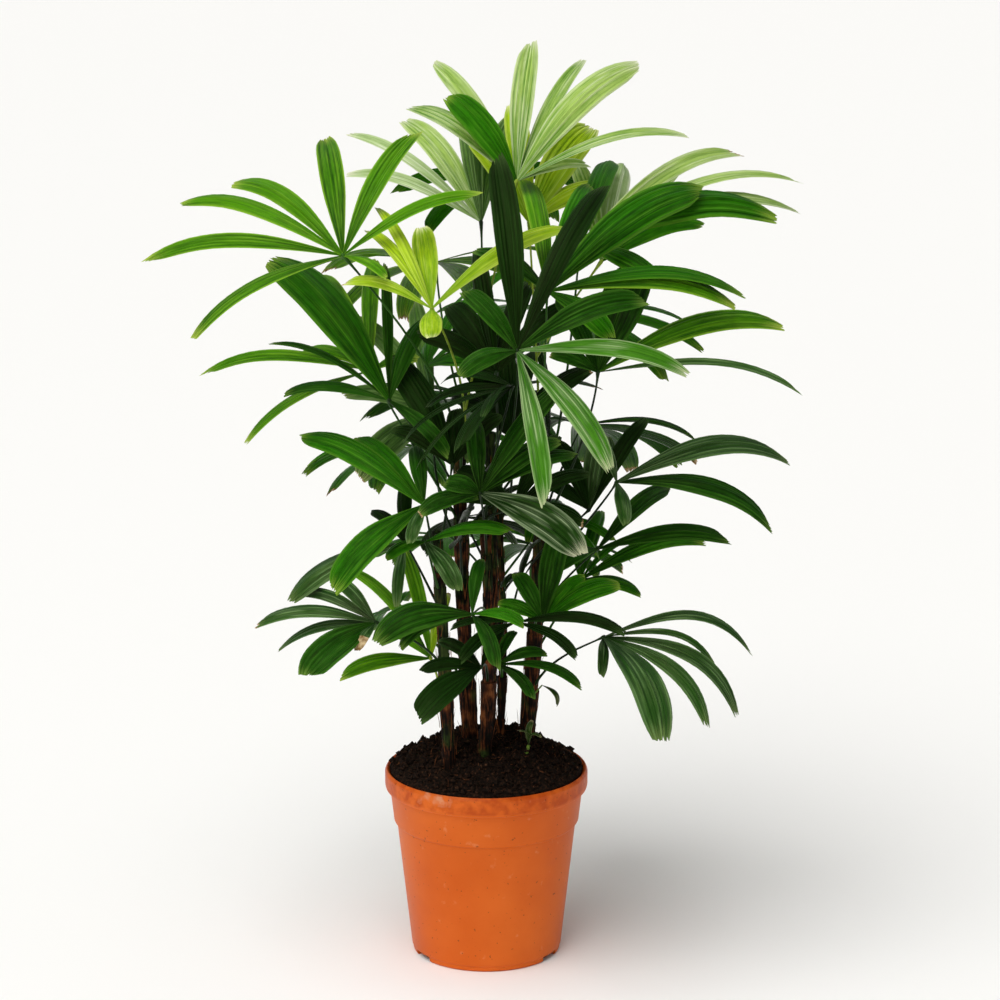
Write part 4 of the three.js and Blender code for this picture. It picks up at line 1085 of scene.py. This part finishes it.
def mouldedPlastic(name):
    # injection moulded polypropylene: even orange with a dull sheen, stained at the lip, scuffed pale
    material, tree, shader = newMaterial(name, {"Specular IOR Level": 0.15})
    place = addNode(tree, "TexCoord").outputs["Object"]
    height = addNode(tree, "SeparateXYZ", {0: place}).outputs["Z"]
    # broad clouds in the colour and the sheen, and a moulded grain of under a millimetre
    soft = addNode(tree, "TexNoise", {"Vector": place, "Scale": 9.0, "Detail": 7.0})
    ground = addNode(tree, "ValToRGB", {"Fac": soft}, stops=[(0.3, "#cc5810"), (0.7, "#e06c22")])
    dull = addNode(tree, "MapRange", {
        "Value": soft, "From Min": 0.3, "From Max": 0.7, "To Min": 0.36, "To Max": 0.48})
    grain = addNode(tree, "TexNoise", {"Vector": place, "Scale": 1400.0, "Detail": 1.0})
    bump = addNode(tree, "Bump", {"Strength": 0.15, "Distance": 0.0002, "Height": grain})
    # the lip is stained in blotches of about 13 mm
    stain = addNode(tree, "TexNoise", {"Vector": place, "Scale": 75.0, "Detail": 6.0})
    onLip = addNode(tree, "MapRange", {"Value": height, "From Min": 0.2035, "From Max": 0.2065})
    stained = addNode(tree, "MapRange", {
        "Value": stain, "From Min": 0.38, "From Max": 0.6, "To Min": 0.1, "To Max": 0.85})
    lipShare = addNode(tree, "Math", {0: onLip, 1: stained}, operation="MULTIPLY")
    # one scuffed patch at the front of the lip, three times as wide as it is high
    flat = addNode(tree, "Mapping", {"Vector": place, "Scale": (1.0, 1.0, 3.0)})
    away = addNode(tree, "VectorMath", {0: flat, 1: (-0.06, -0.104, 0.657)}, operation="DISTANCE")
    near = addNode(tree, "MapRange", {
        "Value": away.outputs["Value"], "From Min": 0.012, "From Max": 0.04, "To Min": 0.3, "To Max": 0.0})
    scuff = addNode(tree, "Math", {0: near, 1: stain}, operation="ADD")
    scuffShare = addNode(tree, "MapRange", {
        "Value": scuff, "From Min": 0.66, "From Max": 0.86, "To Max": 0.6})
    # specks of dirt
    speck = addNode(tree, "TexNoise", {"Vector": place, "Scale": 260.0, "Detail": 1.0})
    dots = addNode(tree, "MapRange", {"Value": speck, "From Min": 0.72, "From Max": 0.76, "To Max": 0.7})
    colour = ground
    for share, over in ((lipShare, "#b4440c"), (scuffShare, "#eaaa80"), (dots, "#6f2d12")):
        inputs = {0: share, 6: colour, 7: hexColour(over)}
        colour = addNode(tree, "Mix", inputs, data_type="RGBA").outputs[2]
    feed(tree, shader, {"Base Color": colour, "Roughness": dull, "Normal": bump})
    return material


def potProfile():
    # radius and height from the foot's edge up the outside, over the lip and down the inside
    lipFoot = pot["height"] - pot["lipDrop"]
    foot = pot["bodyBottom"] - pot["footInset"]
    mouth = potInside(pot["height"])
    soft, lipRound, height, rim = pot["soft"], pot["lipRound"], pot["height"], pot["rimRadius"]
    return [
        (foot - soft, 0), (foot, soft), (foot, pot["footHeight"] - pot["ledge"]),
        (pot["bodyBottom"], pot["footHeight"] + pot["ledge"]),
        (pot["bodyTop"], pot["bandEnd"] - pot["bandDrop"]), (pot["bandBottom"], pot["bandEnd"]),
        (pot["bandTop"], lipFoot - soft), (rim - pot["lipDraft"], lipFoot),
        (rim, lipFoot + lipRound), (rim, height - lipRound), (rim - soft, height),
        (mouth + soft, height), (mouth, height - soft),
        (potInside(stepHigh), stepHigh), (potInside(stepLow), stepLow),
        (potInside(pot["floor"]), pot["floor"]),
    ]


def makePot():
    # a disc drawn up along the profile, its corners bevelled and the drainage notches cut
    profile = potProfile()
    radius, level = profile[0]
    bpy.ops.mesh.primitive_circle_add(
        vertices=pot["sides"], radius=radius * mm, fill_type="NGON", location=(0, 0, level * mm))
    piece = bpy.context.active_object
    piece.name = "nurseryPot"
    bpy.ops.object.mode_set(mode="EDIT")
    bpy.ops.mesh.select_all(action="DESELECT")
    bpy.ops.mesh.select_mode(type="EDGE")
    bpy.ops.mesh.select_all(action="SELECT")
    bpy.ops.mesh.region_to_loop()
    for nextRadius, nextLevel in profile[1:]:
        bpy.ops.mesh.extrude_edges_move(TRANSFORM_OT_translate={"value": (0, 0, (nextLevel - level) * mm)})
        k = nextRadius / radius
        bpy.ops.transform.resize(value=(k, k, 1), center_override=(0, 0, 0))
        radius, level = nextRadius, nextLevel
    bpy.ops.mesh.edge_face_add()
    bpy.ops.mesh.select_all(action="SELECT")
    bpy.ops.mesh.normals_make_consistent(inside=False)
    bpy.ops.object.mode_set(mode="OBJECT")
    bpy.ops.object.transform_apply(location=True, rotation=True, scale=True)
    bevel = piece.modifiers.new("softEdges", "BEVEL")
    bevel.width = pot["edge"] * mm
    bevel.segments = pot["edgeSteps"]
    bevel.limit_method = "ANGLE"
    bevel.angle_limit = math.radians(pot["edgeAngle"])
    bpy.ops.object.modifier_apply(modifier="softEdges")
    for degrees in pot["notches"]:
        turn = math.radians(degrees)
        out = pot["bodyBottom"] * mm
        bpy.ops.mesh.primitive_cube_add(
            size=1, location=(out * math.cos(turn), out * math.sin(turn), 0), rotation=(0, 0, turn),
            scale=(2 * pot["notchDepth"] * mm, pot["notchWidth"] * mm, 2 * pot["notchHeight"] * mm))
        cutter = bpy.context.active_object
        onlySelect(piece)
        cut = piece.modifiers.new("notch", "BOOLEAN")
        cut.object = cutter
        cut.operation = "DIFFERENCE"
        cut.solver = "EXACT"
        bpy.ops.object.modifier_apply(modifier="notch")
        bpy.data.objects.remove(cutter)
    piece.data.materials.clear()
    piece.data.materials.append(mouldedPlastic("mouldedOrangePlastic"))
    smoothUnder(piece, 32)
    settle(piece, "pot_plastic", "pot")


makePot()
print("pot made")

heap = {
    "sides": 150, "rings": 62, "slack": 1,  # gap to the pot's wall
    "swell": 4, "wave": [0.083, 0.071, 0.17, 0.21],  # height and scales of the long uneven waves
    "calm": 2.5,  # lets the waves die away over the outer eighth of the mound
    "backHeap": [12, 62, 7, 40],  # place, height and spread of the higher soil at the back
    # width and height of clods, lumps and grit, and the level of the noise they are taken from
    "lumps": [[9, 3.3, 3.1], [4.2, 1.98, 7.7], [1.9, 1.5, 1.3]],
    "rimLumps": 0.35, "rimWide": 4,  # what is left of them at the wall, and how near to it that begins
    "underside": 0.3,  # gap to the pot's floor
}
# sunk and rise: how much of the lumps a crumb stands on, and how much of its size it stands out
crumb = {"count": 2600, "size": [0.9, 5.6], "stretch": [0.7, 1.3], "sunk": 0.9, "rise": 0.3, "inset": 2}
chip = {
    "count": 130, "length": [4, 16], "radius": [0.3, 0.8], "thinning": [0.6, 1, 0.5],
    "rise": [1.0, 2.2], "curl": 0.5, "inset": 4,
    "edge": [2, 3],  # a chip that ends nearer to the wall than the first is drawn in to the second
}
soilEdge = potInside(soil["edge"]) - heap["slack"]
crumbRoll = dice(404)


def soilHeight(x, y):
    edge = potInside(soil["edge"])
    bulge = 1 - ((x * x + y * y) / (edge * edge)) ** 2
    a, b, c, d = heap["wave"]
    waves = math.sin(x * a + 1.3) * math.cos(y * b - 0.6) + 0.6 * math.sin(x * c + y * d)
    heapX, heapY, heapUp, heapWide = heap["backHeap"]
    away = math.hypot(x - heapX, y - heapY) / heapWide
    uneven = heapUp * math.exp(-away * away) + heap["swell"] * waves
    return between([soil["edge"], soil["crown"]], bulge) + uneven * min(1, heap["calm"] * bulge)


def crumbly(x, y):
    return sum(height * noise.noise((x / wide, y / wide, level)) for wide, height, level in heap["lumps"])


def strewn(inset):
    # a place on the soil that chance gives, this far from the wall or more
    radius = (soilEdge - inset) * math.sqrt(crumbRoll())
    angle = 2 * math.pi * crumbRoll()
    return radius * math.cos(angle), radius * math.sin(angle)


def pottingMix(name):
    # damp peat compost: matt, nearly black, with a little brown where crumbs are drier; 3 mm crumbs
    material, tree, shader = newMaterial(name, {"Roughness": 0.93, "Specular IOR Level": 0.1})
    place = addNode(tree, "TexCoord").outputs["Object"]
    grain = addNode(tree, "TexNoise", {"Vector": place, "Scale": 330.0, "Detail": 4.0})
    ramp = addNode(tree, "ValToRGB", {"Fac": grain}, stops=[
        (0.3, "#080503"), (0.5, "#1a110b"), (0.66, "#342014"), (0.78, "#6a4a34")])
    bump = addNode(tree, "Bump", {"Strength": 0.8, "Distance": 0.0012, "Height": grain})
    feed(tree, shader, {"Base Color": ramp, "Normal": bump})
    return material


def makeMound(material):
    # rings from the middle out over the mound, then down the pot's inside
    sides = heap["sides"]
    ways = [2 * math.pi * side / sides for side in range(sides)]
    verts = []
    for ring in range(1, heap["rings"] + 1):
        radius = soilEdge * ring / heap["rings"]
        calm = min(1, (soilEdge - radius) / heap["rimWide"])
        lumpy = between([heap["rimLumps"], 1], calm)
        for angle in ways:
            x, y = radius * math.cos(angle), radius * math.sin(angle)
            verts.append((x, y, soilHeight(x, y) + crumbly(x, y) * lumpy))
    bottom = pot["floor"] + heap["underside"]
    for level in (stepHigh, stepLow, bottom):
        radius = potInside(level) - heap["slack"]
        verts += [(radius * math.cos(angle), radius * math.sin(angle), level) for angle in ways]
    verts += [(0, 0, soilHeight(0, 0)), (0, 0, bottom)]
    faces = ringFaces(heap["rings"] + 3, sides)
    piece = meshPiece("pottingSoil", np.array(verts), faces, material)
    smoothUnder(piece, 50)
    settle(piece, "potting_soil", "soil")


def makeCrumbs(material):
    # loose crumbs, each a stretched and turned octahedron
    corners = np.array([[1, 0, 0], [-1, 0, 0], [0, 1, 0], [0, -1, 0], [0, 0, 1], [0, 0, -1]], float)
    sheets = np.array([
        [0, 2, 4], [2, 1, 4], [1, 3, 4], [3, 0, 4], [2, 0, 5], [1, 2, 5], [3, 1, 5], [0, 3, 5]])
    crumbs = []
    for _ in range(crumb["count"]):
        x, y = strewn(crumb["inset"])
        grit = between(crumb["size"], crumbRoll() ** 3)
        stretch = np.array([[between(crumb["stretch"], crumbRoll()) for _ in range(3)] for _ in range(6)])
        spin = fullTurn * crumbRoll()
        c, s = math.cos(spin), math.sin(spin)
        turn = np.array([[c, -s, 0], [s, c, 0], [0, 0, 1]])
        centre = np.array([x, y, soilHeight(x, y) + crumbly(x, y) * crumb["sunk"] + crumb["rise"] * grit])
        crumbs.append(((corners * stretch * grit) @ turn.T + centre, sheets))
    piece = joinTubes("soilCrumbs", crumbs, material)
    smoothUnder(piece, 40)
    settle(piece, "potting_soil")


def makeChips():
    # short root fibres and chips of bark that lie on the soil, kept clear of the pot's wall
    edge, kept = [soilEdge - away for away in chip["edge"]]
    chips = []
    for _ in range(chip["count"]):
        x, y = strewn(chip["inset"])
        way = fullTurn * crumbRoll()
        long = between(chip["length"], crumbRoll() ** 2)
        points = []
        for k in (-0.5, 0, 0.5):
            bend = way + chip["curl"] * k
            px, py = x + long * k * math.cos(bend), y + long * k * math.sin(bend)
            out = math.hypot(px, py)
            if out > edge:
                px, py = px * kept / out, py * kept / out
            rise = between(chip["rise"], crumbRoll())
            points.append((px, py, soilHeight(px, py) + crumbly(px, py) + rise))
        radii = between(chip["radius"], crumbRoll()) * np.array(chip["thinning"])
        chips.append(tubeArrays(points, radii, 4))
    piece = joinTubes("soilFibres", chips, plainFinish("dryRootFibre", "#2a160c", "#6e4226", 0.02, 0.85))
    settle(piece, "potting_soil")


mixMaterial = pottingMix("dampPottingMix")
makeMound(mixMaterial)
makeCrumbs(mixMaterial)
makeChips()
print("soil made")

# a young shoot in front of cane 5 with curled leaves, and a small leaf low on that cane
sprout = {
    "shoot": [[43, -34, 236], [46, -33, 250], [50, -30, 262]], "shootRadius": [3.6, 3.0, 1.8],
    "stem": [[48, 38, 296], [56, 32, 304], [66, 26, 318]], "stemRadius": [1.3, 1.1, 0.9],
    # the tip, width and arch of each leaf
    "shootLeaves": [[[36, -38, 281], 9, 0.3], [[66, -34, 272], 8, 0.45], [[54, -22, 290], 9, 0.2]],
    "stemLeaves": [[[82, 20, 292], 11, 0.3]],
    "rows": 10,
}


def smallLeaf(hub, tip, width, arch):
    # a leaflet in the growth rule's terms, for bladeGrid
    span = minus(tip, hub)
    chord = unit(span)
    upward = (0, 0, 1)
    over = unit(minus(upward, times(chord, dot(upward, chord))))
    return {
        "hub": hub, "chord": chord, "over": over, "arch": arch, "across": unit(cross(chord, over)),
        "length": size(span), "width": width,
    }


sproutLeaves = [smallLeaf(sprout["shoot"][-1], *leaf) for leaf in sprout["shootLeaves"]]
sproutLeaves += [smallLeaf(sprout["stem"][-1], *leaf) for leaf in sprout["stemLeaves"]]
sproutRoll = dice(88)
sproutBlades = [
    bladeGrid(shape, bladeLook(sproutRoll, shape), 0, 1, sprout["rows"]) for shape in sproutLeaves]
sproutSkin = leafBlade("sproutLeaf", ["#0e1f06", "#2a4a12", "#a7a878", "#c9b98a"], 0.4, 0.4, 0.12)
sproutPiece = joinBlades("sproutLeaves", sproutBlades, sproutSkin)
smoothUnder(sproutPiece, 26)
settle(sproutPiece, "leaf_dark")
stems = [
    tubeArrays(sprout["shoot"], sprout["shootRadius"], 10),
    tubeArrays(sprout["stem"], sprout["stemRadius"], 6)]
shootPiece = joinTubes("youngShoot", stems, plainFinish("youngStem", "#3c5a18", "#7f9a3a", 0.01, 0.5))
smoothUnder(shootPiece, 60)
settle(shootPiece, "leaf_mid")
print("young shoot made")

# in metres, from here on
studio = {
    "floorSize": 60, "floor": "#f4f3f0", "sky": "#ffffff", "lowSky": 0.15, "highSky": 0.5,
    "sun": 2.5, "sunSpread": 55, "sunAim": (0.3, 0.42, -1.0),
    "front": 16, "frontPlace": (-1.2, -3.4, 1.3), "frontAim": (0, 0, 0.4), "frontSize": (1.4, 1.4),
    "camera": (0.0162, -4.0, 1.564), "pitch": 14.21, "lens": 127.8, "sensor": 36,
}


def makeFloor():
    bpy.ops.mesh.primitive_plane_add(size=studio["floorSize"])
    floor = bpy.context.active_object
    floor.name = "paleFloor"
    # rolled matt paint: nearly white, without shine
    floor.data.materials.append(newMaterial("paintedStudioFloor", {
        "Base Color": hexColour(studio["floor"]), "Roughness": 0.9, "Specular IOR Level": 0.1})[0])


def addLamp(name, kind, power, place, aim, **values):
    # a lamp at its place, turned towards its aim
    lamp = bpy.data.lights.new(name, kind)
    lamp.energy = power
    for key, value in values.items():
        setattr(lamp, key, value)
    light = bpy.data.objects.new(name, lamp)
    bpy.context.scene.collection.objects.link(light)
    light.location = place
    light.rotation_euler = (Vector(aim) - Vector(place)).to_track_quat("-Z", "Y").to_euler()


makeFloor()
addLamp(
    "ceilingDiffuser", "SUN", studio["sun"], (0, 0, 0), studio["sunAim"],
    angle=math.radians(studio["sunSpread"]))
addLamp(
    "frontBox", "AREA", studio["front"], studio["frontPlace"], studio["frontAim"],
    shape="RECTANGLE", size=studio["frontSize"][0], size_y=studio["frontSize"][1])
world = bpy.data.worlds.new("paleRoom")
bpy.context.scene.world = world
world.use_nodes = True
roomNodes = world.node_tree
# brighter overhead than at eye level, as under a large soft box
towards = addNode(roomNodes, "TexCoord").outputs["Generated"]
height = addNode(roomNodes, "SeparateXYZ", {0: towards}).outputs["Z"]
strength = addNode(roomNodes, "MapRange", {
    "Value": height, "To Min": studio["lowSky"], "To Max": studio["highSky"]})
feed(roomNodes, roomNodes.nodes["Background"], {"Color": hexColour(studio["sky"]), "Strength": strength})

camera = bpy.data.cameras.new("camera")
camera.lens = studio["lens"]
camera.sensor_width = studio["sensor"]
viewer = bpy.data.objects.new("camera", camera)
bpy.context.scene.collection.objects.link(viewer)
viewer.location = studio["camera"]
viewer.rotation_euler = (math.radians(90 - studio["pitch"]), 0, 0)
bpy.context.scene.camera = viewer
bpy.context.scene.view_settings.view_transform = "Standard"

print("stage set")
